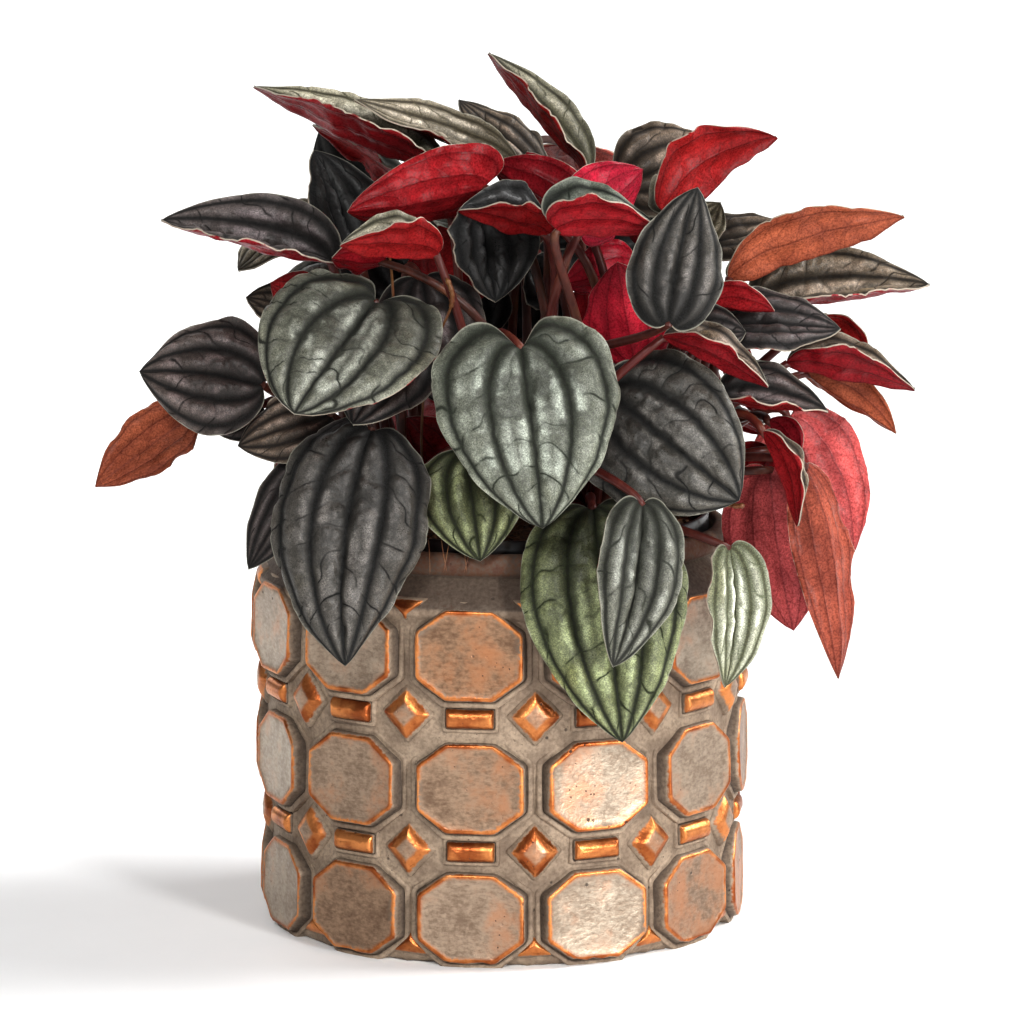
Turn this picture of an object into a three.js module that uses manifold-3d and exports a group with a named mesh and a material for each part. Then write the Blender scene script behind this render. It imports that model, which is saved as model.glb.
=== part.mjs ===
// A potted peperomia: a relief-cast decorative pot, a thin nursery pot standing in it, the soil and
// eight leafy crowns rooted in the soil. Millimetres, +Z up, origin under the middle of the pot.
import * as THREE from 'three';
import { mergeVertices } from 'three/addons/utils/BufferGeometryUtils.js';
import Module from 'manifold-3d';

const wasm = await Module();
wasm.setup();

// Decorative pot
const groundRadius = 69.8;
const wallInnerRadius = 62.8;
const potFloor = 10;
const shoulderBottom = 99;
const shoulderTop = 103;
const shoulderRadius = 71.2;
const creaseRadius = 64.2;
const creaseHeight = 110;
const rimTop = 117;
const rimRadius = 66.3;
const neckInnerRadius = 61.4;
const potLean = 0.03;
const footRound = 3.6;
const shoulderStep = 1.5;
const rimRound = 2.6;
const floorRound = 2.6;
const potSides = 24;

// Relief on the decorative pot
const columnCount = 12;
const firstColumnAngle = -7.4;
const rowHeights = [87.4, 49.5, 12.2];
const octagonWidth = 31;
const octagonHeight = 26;
const octagonCornerX = 8.4;
const octagonCornerZ = 6.2;
const octagonFace = 72.3;
const octagonRoot = 66;
const barHeights = [69.3, 31.2];
const barLength = 13.5;
const barWidth = 5.6;
const barRise = 2;
const barSides = 6;
const diamondHeights = [70, 31.3];
const diamondWidth = 15;
const diamondTall = 16;
const diamondRise = 2.8;
const halfDiamondWidth = 13;
const halfDiamondTall = 7;
const reliefFoot = 0.6;

// Nursery pot
const nurseryRimRadius = 60;
const nurseryInnerRim = 58.6;
const nurseryTop = 120;
const nurseryLip = 110;
const nurseryFootRadius = 43;
const nurseryWaistRadius = 57.2;
const nurseryWall = 1.3;
const nurseryRound = 1;
const nurserySides = 32;
const drainCount = 6;
const drainRadius = 4;
const drainRing = 30;

// Soil
const soilTop = 116;
const soilCrown = 117.2;
const soilSides = 32;
const soilRound = 1;
const rootHoleRadius = 4.5;
const rootHoleFloor = 102.6;

// Crowns
const crownStemRadius = 4;
const crownStemFoot = 103;
const crownStemTop = 127;
const crownSides = 8;
const stalkStart = 124;
const stalkSpread = 2.5;
const stalkRadius = 1.5;
const stalkSides = 3;
const stalkSteps = 4;
const bladeThickness = 0.7;
const bladeColumns = 4;
const wideBlade = 26;
const wideBladeRows = 5;
const smallBladeRows = 4;
const rowCrowding = 1.6;
const lobeRound = 0.008;
const leastAngle = 0.1;
const leavingLean = 0.08;
const arrivingSway = 0.7;

const gap = 0.3;

const crownPlaces = {
  frontLeft: [-25, -31],
  frontRight: [25, -33],
  left: [-45, -3],
  right: [45, -5],
  middle: [0, -9],
  backLeft: [-27, 26],
  backRight: [27, 26],
  back: [0, 46],
};

// Outlines of a blade: its half width grows as a power of the way from the stalk and shrinks as a power of
// the way to the tip, and its two lobes reach back past the stalk by a share of the length.
const bladeForms = {
  heart: { growth: 0.5, taper: 0.78, lobe: 0.27 },
  kidney: { growth: 0.6, taper: 0.7, lobe: 0.28 },
  round: { growth: 0.6, taper: 0.76, lobe: 0.15 },
  ovate: { growth: 0.55, taper: 0.85, lobe: 0.09 },
  lance: { growth: 0.62, taper: 0.92, lobe: 0.03 },
};

// How a stalk comes up to its blade: shares of the stalk's reach, back along the blade and behind it.
const stalkForms = {
  over: { along: 0.15, behind: 0.25 },
  under: { along: 0.3, behind: 0.1 },
  arch: { along: 0.05, behind: 0.4 },
  loop: { along: 0.3, behind: 0.35 },
  straight: { along: 0.12, behind: 0.06 },
};

// Each leaf on its own: where the stalk meets the blade, where the tip is, and the way that the upper face
// looks. Angles are in degrees: fold lifts the two halves, cup curls them, bend arches the midrib up and
// sweep curves it sideways. The filling leaves stand at the back and sides.
const shownLeaves = [
  {
    name: 'heart', crown: 'frontRight',
    base: [5, -82, 177], tip: [11, -93, 129], facing: [0.1, -1, 0.3],
    form: 'heart', width: 52, fold: 13, cup: -38, bend: 28, sweep: 0,
    stalk: 'loop', rise: 0.15, sway: -0.25,
  },
  {
    name: 'disc', crown: 'frontLeft',
    base: [-35, -56, 186], tip: [-56, -92, 160], facing: [-0.1, -0.75, 0.4],
    form: 'kidney', width: 50, fold: 15, cup: -22, bend: 14, sweep: 0,
    stalk: 'over', rise: 0.15, sway: -0.1,
  },
  {
    name: 'shield', crown: 'frontRight',
    base: [29, -60, 162], tip: [65, -76, 134], facing: [0, -0.9, 0.1],
    form: 'round', width: 46, fold: 12, cup: -38, bend: 31, sweep: 0,
    stalk: 'over', rise: 0.15, sway: -0.25,
  },
  {
    name: 'longDark', crown: 'frontLeft',
    base: [-36, -66, 152], tip: [-43, -82, 89], facing: [-0.1, -1, 0.2],
    form: 'ovate', width: 46, fold: 18, cup: -60, bend: 25, sweep: -12,
    stalk: 'over', rise: 0.25, sway: -0.25,
  },
  {
    name: 'greenBig', crown: 'frontRight',
    base: [25, -66, 130], tip: [33, -84, 68], facing: [0.05, -1, 0.2],
    form: 'ovate', width: 47, fold: 15, cup: -40, bend: 30, sweep: 0,
    stalk: 'over', rise: 0.25, sway: 0,
  },
  {
    name: 'tongue', crown: 'frontLeft',
    base: [38, -82, 134], tip: [30, -94, 91], facing: [0.4, -0.85, 0.15],
    form: 'ovate', width: 27, fold: 30, cup: -40, bend: 15, sweep: 8,
    stalk: 'straight', rise: 0.5, sway: -0.1,
  },
  {
    name: 'pale', crown: 'frontRight',
    base: [63, -60, 118], tip: [62, -62, 79], facing: [0.5, -0.85, 0],
    form: 'ovate', width: 22, fold: 30, cup: -15, bend: 15, sweep: 9,
    stalk: 'over', rise: 0.15, sway: -0.4,
  },
  {
    name: 'greenBack', crown: 'frontLeft',
    base: [-10, -58, 145], tip: [-6, -70, 116], facing: [-0.1, -1, 0.25],
    form: 'ovate', width: 32, fold: 8, cup: -20, bend: 15, sweep: 0,
    stalk: 'over', rise: 0.25, sway: -0.25,
  },
  {
    name: 'upright', crown: 'middle',
    base: [45, -87, 184], tip: [53, -77, 220], facing: [0.15, -1, 0.2],
    form: 'ovate', width: 27, fold: 20, cup: -45, bend: -15, sweep: 6,
    stalk: 'arch', rise: 0.5, sway: -0.1,
  },
  {
    name: 'behindDisc', crown: 'frontLeft',
    base: [-23, -30, 190], tip: [-16, -39, 155], facing: [0.2, -0.95, 0.1],
    form: 'ovate', width: 32, fold: 12, cup: -20, bend: 15, sweep: 0,
    stalk: 'under', rise: 0.4, sway: 0.25,
  },
  {
    name: 'underDisc', crown: 'frontLeft',
    base: [-27, -54, 174], tip: [-41, -70, 154], facing: [-0.2, -0.8, 0.5],
    form: 'ovate', width: 30, fold: 12, cup: -25, bend: 15, sweep: 0,
    stalk: 'straight', rise: 0.15, sway: -0.1,
  },
  {
    name: 'leftBoat', crown: 'frontLeft',
    base: [-48, -42, 196], tip: [-96, -32, 207], facing: [-0.05, -0.5, 0.87],
    form: 'ovate', width: 33, fold: 42, cup: 5, bend: -15, sweep: 0,
    stalk: 'over', rise: 0.25, sway: -0.1,
  },
  {
    name: 'leftMid', crown: 'frontLeft',
    base: [-67, -46, 162], tip: [-102, -40, 165], facing: [-0.1, -0.85, 0.5],
    form: 'ovate', width: 36, fold: 12, cup: -25, bend: 15, sweep: -5,
    stalk: 'over', rise: 0.25, sway: -0.25,
  },
  {
    name: 'leftLow', crown: 'frontLeft',
    base: [-48, -50, 154], tip: [-74, -48, 145], facing: [-0.2, -0.8, 0.5],
    form: 'ovate', width: 23, fold: 12, cup: -25, bend: 15, sweep: 0,
    stalk: 'over', rise: 0.25, sway: -0.25,
  },
  {
    name: 'leftSmall', crown: 'left',
    base: [-68, -36, 155], tip: [-81, -36, 147], facing: [0.1, -0.9, 0.3],
    form: 'lance', width: 16, fold: 20, cup: 0, bend: 10, sweep: 0,
    stalk: 'loop', rise: 0.5, sway: -0.1,
  },
  {
    name: 'rustLeft', crown: 'left',
    base: [-89, -22, 150], tip: [-117, -18, 129], facing: [0.3, 0.9, 0.3],
    form: 'lance', width: 22, fold: 33, cup: 8, bend: 10, sweep: 0,
    stalk: 'over', rise: 0.15, sway: -0.4,
  },
  {
    name: 'leftHang', crown: 'frontLeft',
    base: [-53, -50, 141], tip: [-71, -54, 111], facing: [-0.3, -0.95, 0.1],
    form: 'ovate', width: 18, fold: 20, cup: -20, bend: 10, sweep: 0,
    stalk: 'over', rise: 0.25, sway: -0.25,
  },
  {
    name: 'darkUp', crown: 'frontLeft',
    base: [-40, -22, 194], tip: [-54, -10, 225], facing: [0.6, -0.8, 0.1],
    form: 'ovate', width: 30, fold: 30, cup: -10, bend: -10, sweep: -5,
    stalk: 'over', rise: 0.25, sway: -0.25,
  },
  {
    name: 'leftPeekRed', crown: 'frontLeft',
    base: [-54, -36, 184], tip: [-65, -38, 190], facing: [0, 0.9, 0.4],
    form: 'lance', width: 15, fold: 20, cup: 0, bend: 0, sweep: 0,
    stalk: 'arch', rise: 0.25, sway: -0.25,
  },
  {
    name: 'leftPeekGrey', crown: 'left',
    base: [-57, -26, 181], tip: [-73, -22, 184], facing: [0, -0.7, 0.7],
    form: 'lance', width: 16, fold: 20, cup: 0, bend: 0, sweep: 0,
    stalk: 'under', rise: 0.25, sway: 0,
  },
  {
    name: 'topLeft', crown: 'frontLeft',
    base: [-18, -22, 220], tip: [-71, -8, 243], facing: [0.1, -0.1, 1],
    form: 'lance', width: 34, fold: 37, cup: 5, bend: -18, sweep: 0,
    stalk: 'over', rise: 0.25, sway: -0.1,
  },
  {
    name: 'topSage', crown: 'middle',
    base: [4, -8, 221], tip: [-42, -19, 240], facing: [0.2, -0.4, 0.9],
    form: 'lance', width: 25, fold: 25, cup: 5, bend: -10, sweep: 6,
    stalk: 'over', rise: 0.15, sway: 0,
  },
  {
    name: 'topTaupe', crown: 'backRight',
    base: [12, 16, 216], tip: [-13, 26, 237], facing: [0.2, -0.5, 0.8],
    form: 'lance', width: 22, fold: 12, cup: -10, bend: 10, sweep: 6,
    stalk: 'loop', rise: 0.5, sway: 0.25,
  },
  {
    name: 'topSpear', crown: 'right',
    base: [24, -8, 218], tip: [-4, 2, 252], facing: [0.8, -0.4, 0.35],
    form: 'lance', width: 24, fold: 45, cup: 5, bend: -10, sweep: 6,
    stalk: 'loop', rise: 0.25, sway: -0.1,
  },
  {
    name: 'topTan', crown: 'right',
    base: [35, 8, 214], tip: [65, 18, 225], facing: [-0.1, -0.85, 0.5],
    form: 'ovate', width: 32, fold: 12, cup: -15, bend: 15, sweep: -8,
    stalk: 'loop', rise: 0.25, sway: 0.25,
  },
  {
    name: 'topRed', crown: 'right',
    base: [46, -26, 208], tip: [78, -14, 229], facing: [-0.1, 0.4, 1],
    form: 'ovate', width: 40, fold: 52, cup: -10, bend: -15, sweep: 0,
    stalk: 'over', rise: 0.15, sway: 0.25,
  },
  {
    name: 'peek', crown: 'right',
    base: [54, -4, 199], tip: [63, 2, 209], facing: [0, -0.8, 0.5],
    form: 'lance', width: 14, fold: 15, cup: 0, bend: 0, sweep: 0,
    stalk: 'loop', rise: 0.25, sway: -0.25,
  },
  {
    name: 'bud', crown: 'middle',
    base: [11, -13, 216], tip: [7, -15, 225], facing: [0.3, 0.9, 0.2],
    form: 'lance', width: 10, fold: 20, cup: 0, bend: 0, sweep: 0,
    stalk: 'under', rise: 0.15, sway: -0.1,
  },
  {
    name: 'redLeft', crown: 'middle',
    base: [-5, -33, 216], tip: [-43, -50, 211], facing: [-0.1, 0.85, 0.5],
    form: 'heart', width: 29, fold: 15, cup: 30, bend: -15, sweep: 0,
    stalk: 'over', rise: 0.15, sway: 0.4,
  },
  {
    name: 'redCup', crown: 'frontLeft',
    base: [-18, -62, 200], tip: [-44, -72, 204], facing: [0, -0.05, 1],
    form: 'ovate', width: 30, fold: 50, cup: 5, bend: -30, sweep: 0,
    stalk: 'arch', rise: 0.25, sway: 0.25,
  },
  {
    name: 'redMid', crown: 'frontRight',
    base: [22, -31, 208], tip: [-4, -22, 222], facing: [0.1, 0.8, 0.6],
    form: 'ovate', width: 24, fold: 20, cup: 20, bend: -15, sweep: 0,
    stalk: 'loop', rise: 0.4, sway: -0.25,
  },
  {
    name: 'redBowl', crown: 'frontRight',
    base: [12, -46, 204], tip: [-12, -56, 212], facing: [0, -0.25, 0.95],
    form: 'ovate', width: 32, fold: 46, cup: 5, bend: -28, sweep: 0,
    stalk: 'under', rise: 0.25, sway: -0.25,
  },
  {
    name: 'redSilver', crown: 'frontRight',
    base: [15, -76, 208], tip: [43, -72, 208], facing: [0.1, -0.15, 1],
    form: 'heart', width: 34, fold: 50, cup: 5, bend: -22, sweep: 0,
    stalk: 'straight', rise: 0.5, sway: 0.1,
  },
  {
    name: 'pinkTop', crown: 'frontRight',
    base: [22, -50, 206], tip: [39, -40, 222], facing: [-0.3, 0.85, 0.45],
    form: 'ovate', width: 28, fold: 15, cup: 10, bend: -20, sweep: 0,
    stalk: 'over', rise: 0.25, sway: -0.25,
  },
  {
    name: 'darkFold', crown: 'middle',
    base: [-7, -27, 208], tip: [-2, -35, 184], facing: [0.4, -0.85, 0.2],
    form: 'ovate', width: 32, fold: 30, cup: 0, bend: 10, sweep: 0,
    stalk: 'under', rise: 0.15, sway: 0.4,
  },
  {
    name: 'pinkLow', crown: 'frontRight',
    base: [37, -42, 168], tip: [32, -50, 197], facing: [0.1, 0.95, 0.1],
    form: 'ovate', width: 27, fold: 15, cup: 15, bend: -15, sweep: 0,
    stalk: 'loop', rise: 0.25, sway: -0.25,
  },
  {
    name: 'pinkBack', crown: 'frontRight',
    base: [37, -27, 194], tip: [17, -33, 189], facing: [0.1, 0.85, 0.45],
    form: 'ovate', width: 19, fold: 20, cup: 10, bend: -15, sweep: 0,
    stalk: 'under', rise: 0.25, sway: 0,
  },
  {
    name: 'redUnder', crown: 'middle',
    base: [-33, -52, 197], tip: [-47, -58, 199], facing: [0, 0.7, 0.7],
    form: 'ovate', width: 20, fold: 20, cup: 10, bend: -15, sweep: 0,
    stalk: 'under', rise: 0.25, sway: 0.25,
  },
  {
    name: 'redShade', crown: 'middle',
    base: [-14, -14, 181], tip: [-18, -16, 204], facing: [0.2, 0.95, 0.1],
    form: 'ovate', width: 28, fold: 15, cup: 10, bend: -15, sweep: 0,
    stalk: 'under', rise: 0.15, sway: 0.25,
  },
  {
    name: 'innerBlue', crown: 'middle',
    base: [17, -6, 184], tip: [8, -8, 194], facing: [0.2, -0.9, 0.3],
    form: 'ovate', width: 22, fold: 15, cup: 0, bend: 0, sweep: 0,
    stalk: 'loop', rise: 0.25, sway: -0.25,
  },
  {
    name: 'innerLeft', crown: 'middle',
    base: [-7, -3, 171], tip: [-13, 0, 192], facing: [0.1, -0.9, 0.3],
    form: 'ovate', width: 24, fold: 15, cup: 0, bend: 0, sweep: 0,
    stalk: 'over', rise: 0.15, sway: 0.4,
  },
  {
    name: 'innerRight', crown: 'right',
    base: [30, -14, 169], tip: [26, -12, 191], facing: [-0.1, 0.9, 0.3],
    form: 'ovate', width: 22, fold: 15, cup: 0, bend: -10, sweep: 0,
    stalk: 'straight', rise: 0.5, sway: -0.1,
  },
  {
    name: 'innerBack', crown: 'backRight',
    base: [7, 14, 169], tip: [3, 18, 191], facing: [0, -0.9, 0.3],
    form: 'ovate', width: 27, fold: 15, cup: 0, bend: 0, sweep: 0,
    stalk: 'over', rise: 0.5, sway: 0.1,
  },
  {
    name: 'innerLow', crown: 'frontLeft',
    base: [-14, -34, 136], tip: [-27, -39, 152], facing: [0.1, 0.9, 0.3],
    form: 'ovate', width: 21, fold: 15, cup: 0, bend: -10, sweep: 0,
    stalk: 'under', rise: 0.5, sway: 0,
  },
  {
    name: 'rightRed', crown: 'right',
    base: [64, -28, 190], tip: [114, -20, 207], facing: [-0.1, 0.3, 1],
    form: 'lance', width: 36, fold: 48, cup: -5, bend: -22, sweep: 0,
    stalk: 'arch', rise: 0.15, sway: -0.25,
  },
  {
    name: 'rightCrest', crown: 'right',
    base: [60, 0, 197], tip: [86, 4, 201], facing: [0, -0.5, 0.85],
    form: 'ovate', width: 22, fold: 12, cup: -10, bend: 10, sweep: 0,
    stalk: 'over', rise: 0.5, sway: -0.25,
  },
  {
    name: 'rightDark', crown: 'right',
    base: [73, -14, 181], tip: [123, -6, 186], facing: [-0.05, -0.5, 0.87],
    form: 'ovate', width: 35, fold: 42, cup: 0, bend: -18, sweep: 0,
    stalk: 'over', rise: 0.5, sway: 0.1,
  },
  {
    name: 'rightBehind', crown: 'frontRight',
    base: [60, -38, 178], tip: [95, -40, 177], facing: [0, -0.6, 0.8],
    form: 'ovate', width: 26, fold: 15, cup: -10, bend: 10, sweep: 0,
    stalk: 'over', rise: 0.25, sway: -0.25,
  },
  {
    name: 'rightTip', crown: 'frontRight',
    base: [52, -50, 177], tip: [68, -48, 177], facing: [0, -0.8, 0.6],
    form: 'ovate', width: 18, fold: 20, cup: -5, bend: 10, sweep: 0,
    stalk: 'arch', rise: 0.25, sway: -0.25,
  },
  {
    name: 'redTip', crown: 'frontRight',
    base: [59, -44, 184], tip: [76, -46, 183], facing: [0, 0.6, 0.8],
    form: 'ovate', width: 18, fold: 30, cup: 10, bend: -10, sweep: 0,
    stalk: 'straight', rise: 0.25, sway: 0.25,
  },
  {
    name: 'redDart', crown: 'frontRight',
    base: [44, -69, 178], tip: [73, -72, 165], facing: [0.35, -0.15, 0.9],
    form: 'lance', width: 25, fold: 42, cup: 5, bend: -10, sweep: 0,
    stalk: 'arch', rise: 0.15, sway: -0.4,
  },
  {
    name: 'rightLow', crown: 'frontRight',
    base: [61, -50, 159], tip: [91, -50, 155], facing: [0, -0.4, 0.9],
    form: 'ovate', width: 28, fold: 36, cup: 5, bend: -18, sweep: 0,
    stalk: 'under', rise: 0.25, sway: 0.1,
  },
  {
    name: 'bird', crown: 'right',
    base: [80, -38, 167], tip: [116, -40, 160], facing: [0.3, -0.1, 1],
    form: 'lance', width: 28, fold: 50, cup: 5, bend: -15, sweep: 0,
    stalk: 'loop', rise: 0.5, sway: -0.1,
  },
  {
    name: 'birdBack', crown: 'right',
    base: [86, -28, 163], tip: [112, -28, 146], facing: [0.5, 0.6, 0.6],
    form: 'lance', width: 20, fold: 30, cup: 5, bend: 0, sweep: 0,
    stalk: 'loop', rise: 0.25, sway: -0.1,
  },
  {
    name: 'backHang', crown: 'right',
    base: [91, -4, 176], tip: [106, -2, 159], facing: [0.7, 0.2, 0.7],
    form: 'lance', width: 20, fold: 38, cup: 5, bend: 0, sweep: 0,
    stalk: 'arch', rise: 0.25, sway: 0.1,
  },
  {
    name: 'hangRed', crown: 'right',
    base: [82, -14, 148], tip: [101, -14, 108], facing: [-0.2, 0.95, 0.1],
    form: 'ovate', width: 34, fold: 10, cup: 10, bend: -20, sweep: 0,
    stalk: 'loop', rise: 0.25, sway: 0.25,
  },
  {
    name: 'hangRose', crown: 'right',
    base: [76, -32, 136], tip: [83, -34, 90], facing: [0.15, 0.95, 0.1],
    form: 'ovate', width: 33, fold: 15, cup: 10, bend: -20, sweep: 4,
    stalk: 'arch', rise: 0.25, sway: -0.25,
  },
  {
    name: 'hangRust', crown: 'right',
    base: [85, -46, 139], tip: [95, -44, 78], facing: [-0.5, 0.85, 0.1],
    form: 'lance', width: 22, fold: 30, cup: 5, bend: -15, sweep: -12,
    stalk: 'straight', rise: 0.25, sway: -0.25,
  },
  {
    name: 'hangSmall', crown: 'frontRight',
    base: [72, -62, 151], tip: [82, -64, 125], facing: [0.9, -0.1, 0.3],
    form: 'lance', width: 22, fold: 40, cup: 5, bend: 0, sweep: 0,
    stalk: 'under', rise: 0.25, sway: 0.25,
  },
  {
    name: 'hangShade', crown: 'right',
    base: [77, -24, 140], tip: [68, -24, 125], facing: [0, 0.95, 0.1],
    form: 'ovate', width: 20, fold: 15, cup: 0, bend: 0, sweep: 0,
    stalk: 'over', rise: 0.25, sway: -0.25,
  },
  {
    name: 'hangDark', crown: 'right',
    base: [75, -32, 150], tip: [83, -34, 137], facing: [0.8, 0.4, 0.1],
    form: 'lance', width: 16, fold: 40, cup: 5, bend: 0, sweep: 0,
    stalk: 'straight', rise: 0.5, sway: 0.25,
  },
  {
    name: 'fill1', crown: 'backRight',
    base: [61, 47, 169], tip: [78, 57, 138], facing: [0.7, 0.3, 0.7],
    form: 'ovate', width: 33, fold: 20, cup: -30, bend: 20, sweep: 0,
    stalk: 'straight', rise: 0.5, sway: 0.1,
  },
  {
    name: 'fill2', crown: 'backLeft',
    base: [-28, 3, 215], tip: [-55, 7, 231], facing: [0.3, 0.3, 0.9],
    form: 'ovate', width: 29, fold: 10, cup: -30, bend: 15, sweep: 6,
    stalk: 'straight', rise: 0.15, sway: 0.4,
  },
  {
    name: 'fill3', crown: 'back',
    base: [0, 58, 196], tip: [6, 88, 175], facing: [0.3, 0.4, 0.9],
    form: 'ovate', width: 29, fold: 14, cup: -10, bend: 28, sweep: 0,
    stalk: 'loop', rise: 0.5, sway: -0.1,
  },
  {
    name: 'fill4', crown: 'backLeft',
    base: [-45, 29, 137], tip: [-68, 36, 104], facing: [-0.8, 0.2, 0.6],
    form: 'ovate', width: 25, fold: 20, cup: -20, bend: 15, sweep: 6,
    stalk: 'straight', rise: 0.5, sway: 0.25,
  },
  {
    name: 'fill5', crown: 'left',
    base: [-59, -6, 168], tip: [-93, -6, 154], facing: [-0.6, -0.1, 0.8],
    form: 'ovate', width: 31, fold: 14, cup: -10, bend: 15, sweep: 6,
    stalk: 'straight', rise: 0.5, sway: 0.25,
  },
  {
    name: 'fill6', crown: 'backRight',
    base: [-37, 66, 185], tip: [-51, 82, 152], facing: [-0.7, 0.2, 0.7],
    form: 'ovate', width: 33, fold: 14, cup: -10, bend: 20, sweep: -6,
    stalk: 'under', rise: 0.5, sway: 0.25,
  },
  {
    name: 'fill7', crown: 'backRight',
    base: [36, 26, 214], tip: [63, 29, 180], facing: [0.6, 0.1, 0.8],
    form: 'ovate', width: 32, fold: 20, cup: -10, bend: 15, sweep: 0,
    stalk: 'straight', rise: 0.5, sway: 0,
  },
  {
    name: 'fill9', crown: 'backLeft',
    base: [-53, 4, 208], tip: [-76, -7, 190], facing: [-0.3, -0.3, 0.9],
    form: 'ovate', width: 30, fold: 10, cup: -20, bend: 15, sweep: -6,
    stalk: 'arch', rise: 0.5, sway: 0.25,
  },
  {
    name: 'fill10', crown: 'right',
    base: [28, -21, 209], tip: [55, -26, 179], facing: [0.8, 0.2, 0.6],
    form: 'ovate', width: 35, fold: 20, cup: -10, bend: 20, sweep: 6,
    stalk: 'arch', rise: 0.15, sway: 0,
  },
  {
    name: 'fill11', crown: 'backLeft',
    base: [-51, 27, 173], tip: [-88, 24, 151], facing: [-0.3, 0.2, 0.9],
    form: 'lance', width: 28, fold: 10, cup: -20, bend: 28, sweep: -6,
    stalk: 'straight', rise: 0.5, sway: 0.25,
  },
  {
    name: 'fill12', crown: 'backRight',
    base: [50, 71, 159], tip: [61, 87, 128], facing: [0.4, 0.5, 0.8],
    form: 'lance', width: 30, fold: 10, cup: -20, bend: 28, sweep: -6,
    stalk: 'under', rise: 0.15, sway: 0.4,
  },
  {
    name: 'fill13', crown: 'backRight',
    base: [46, 48, 134], tip: [59, 65, 102], facing: [0.4, 0.9, 0.3],
    form: 'ovate', width: 34, fold: 14, cup: -30, bend: 20, sweep: 6,
    stalk: 'straight', rise: 0.5, sway: 0.25,
  },
  {
    name: 'fill14', crown: 'backLeft',
    base: [-51, 50, 138], tip: [-65, 73, 103], facing: [-0.6, 0.5, 0.7],
    form: 'ovate', width: 35, fold: 14, cup: -20, bend: 15, sweep: -6,
    stalk: 'straight', rise: 0.5, sway: 0.1,
  },
  {
    name: 'fill15', crown: 'right',
    base: [20, 54, 221], tip: [28, 83, 187], facing: [0.2, 0.6, 0.8],
    form: 'ovate', width: 34, fold: 14, cup: -10, bend: 28, sweep: 0,
    stalk: 'under', rise: 0.5, sway: 0.25,
  },
  {
    name: 'gapTop', crown: 'left',
    base: [-37, 26, 211], tip: [-54, 27, 228], facing: [-0.1, -1, 0],
    form: 'ovate', width: 29, fold: 14, cup: -30, bend: 28, sweep: 0,
    stalk: 'over', rise: 0.15, sway: -0.1,
  },
  {
    name: 'gapRight', crown: 'right',
    base: [44, 11, 199], tip: [10, 2, 196], facing: [0.1, -1, -0.1],
    form: 'ovate', width: 20, fold: 10, cup: -10, bend: 28, sweep: 0,
    stalk: 'arch', rise: 0.15, sway: 0.4,
  },
  {
    name: 'gapLeft', crown: 'left',
    base: [-36, -6, 205], tip: [-24, -2, 179], facing: [-0.2, -1, 0],
    form: 'ovate', width: 32, fold: 14, cup: -20, bend: 20, sweep: 0,
    stalk: 'under', rise: 0.15, sway: -0.1,
  },
];

// Leaves on the far side stand in three rings, on an ellipse that the front leaves hide.
const ringReachX = 82;
const ringReachY = 112;
const rings = [
  {
    name: 'low', crowns: ['backRight', 'backRight', 'back', 'back', 'back', 'backLeft', 'left'],
    firstAngle: 16, step: 25, baseReach: 0.62, tipReach: 1, baseHeight: 152, tipHeight: 147,
    droop: 50, width: 36, look: 0.5, stagger: 5,
  },
  {
    name: 'mid', crowns: ['right', 'backRight', 'back', 'back', 'backLeft', 'left'],
    firstAngle: 14, step: 31, baseReach: 0.46, tipReach: 0.9, baseHeight: 184, tipHeight: 172,
    droop: 12, width: 36, look: 0.8, stagger: 7,
  },
  {
    name: 'high', crowns: ['middle', 'left', 'middle'],
    firstAngle: 70, step: 46, baseReach: 0.16, tipReach: 0.6, baseHeight: 200, tipHeight: 206,
    droop: 4, width: 32, look: 1.5, stagger: 3,
  },
];
const ringTurn = 0.25;
const baseStagger = 0.6;
const tipStagger = 1.2;

const radians = THREE.MathUtils.degToRad;

// Joining and cutting

function solidOf(geometry) {
  geometry.deleteAttribute('normal');
  geometry.deleteAttribute('uv');
  const merged = mergeVertices(geometry, 1e-4);
  return new wasm.Manifold(new wasm.Mesh({
    numProp: 3,
    vertProperties: new Float32Array(merged.attributes.position.array),
    triVerts: new Uint32Array(merged.index.array),
  }));
}

function geometryOf(solid) {
  const mesh = solid.getMesh();
  const geometry = new THREE.BufferGeometry();
  geometry.setAttribute('position', new THREE.BufferAttribute(new Float32Array(mesh.vertProperties), 3));
  geometry.setIndex(new THREE.BufferAttribute(new Uint32Array(mesh.triVerts), 1));
  geometry.computeVertexNormals();
  return geometry;
}

function join(solids) {
  return solids.reduce((whole, solid) => whole.add(solid));
}

function lathe(profile, sides) {
  const points = profile.map(([radius, height]) => new THREE.Vector2(radius, height));
  const geometry = new THREE.LatheGeometry(points, sides);
  geometry.rotateX(Math.PI / 2);
  return solidOf(geometry);
}

function upright(radius, bottom, top, sides, x, y) {
  const geometry = new THREE.CylinderGeometry(radius, radius, top - bottom, sides);
  geometry.rotateX(Math.PI / 2);
  geometry.translate(x, y, (top + bottom) / 2);
  return solidOf(geometry);
}

function named(name, solid, colour, roughness, metalness) {
  const material = new THREE.MeshStandardMaterial({ color: colour, roughness, metalness });
  const mesh = new THREE.Mesh(geometryOf(solid), material);
  mesh.name = name;
  return mesh;
}

// Decorative pot

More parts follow.
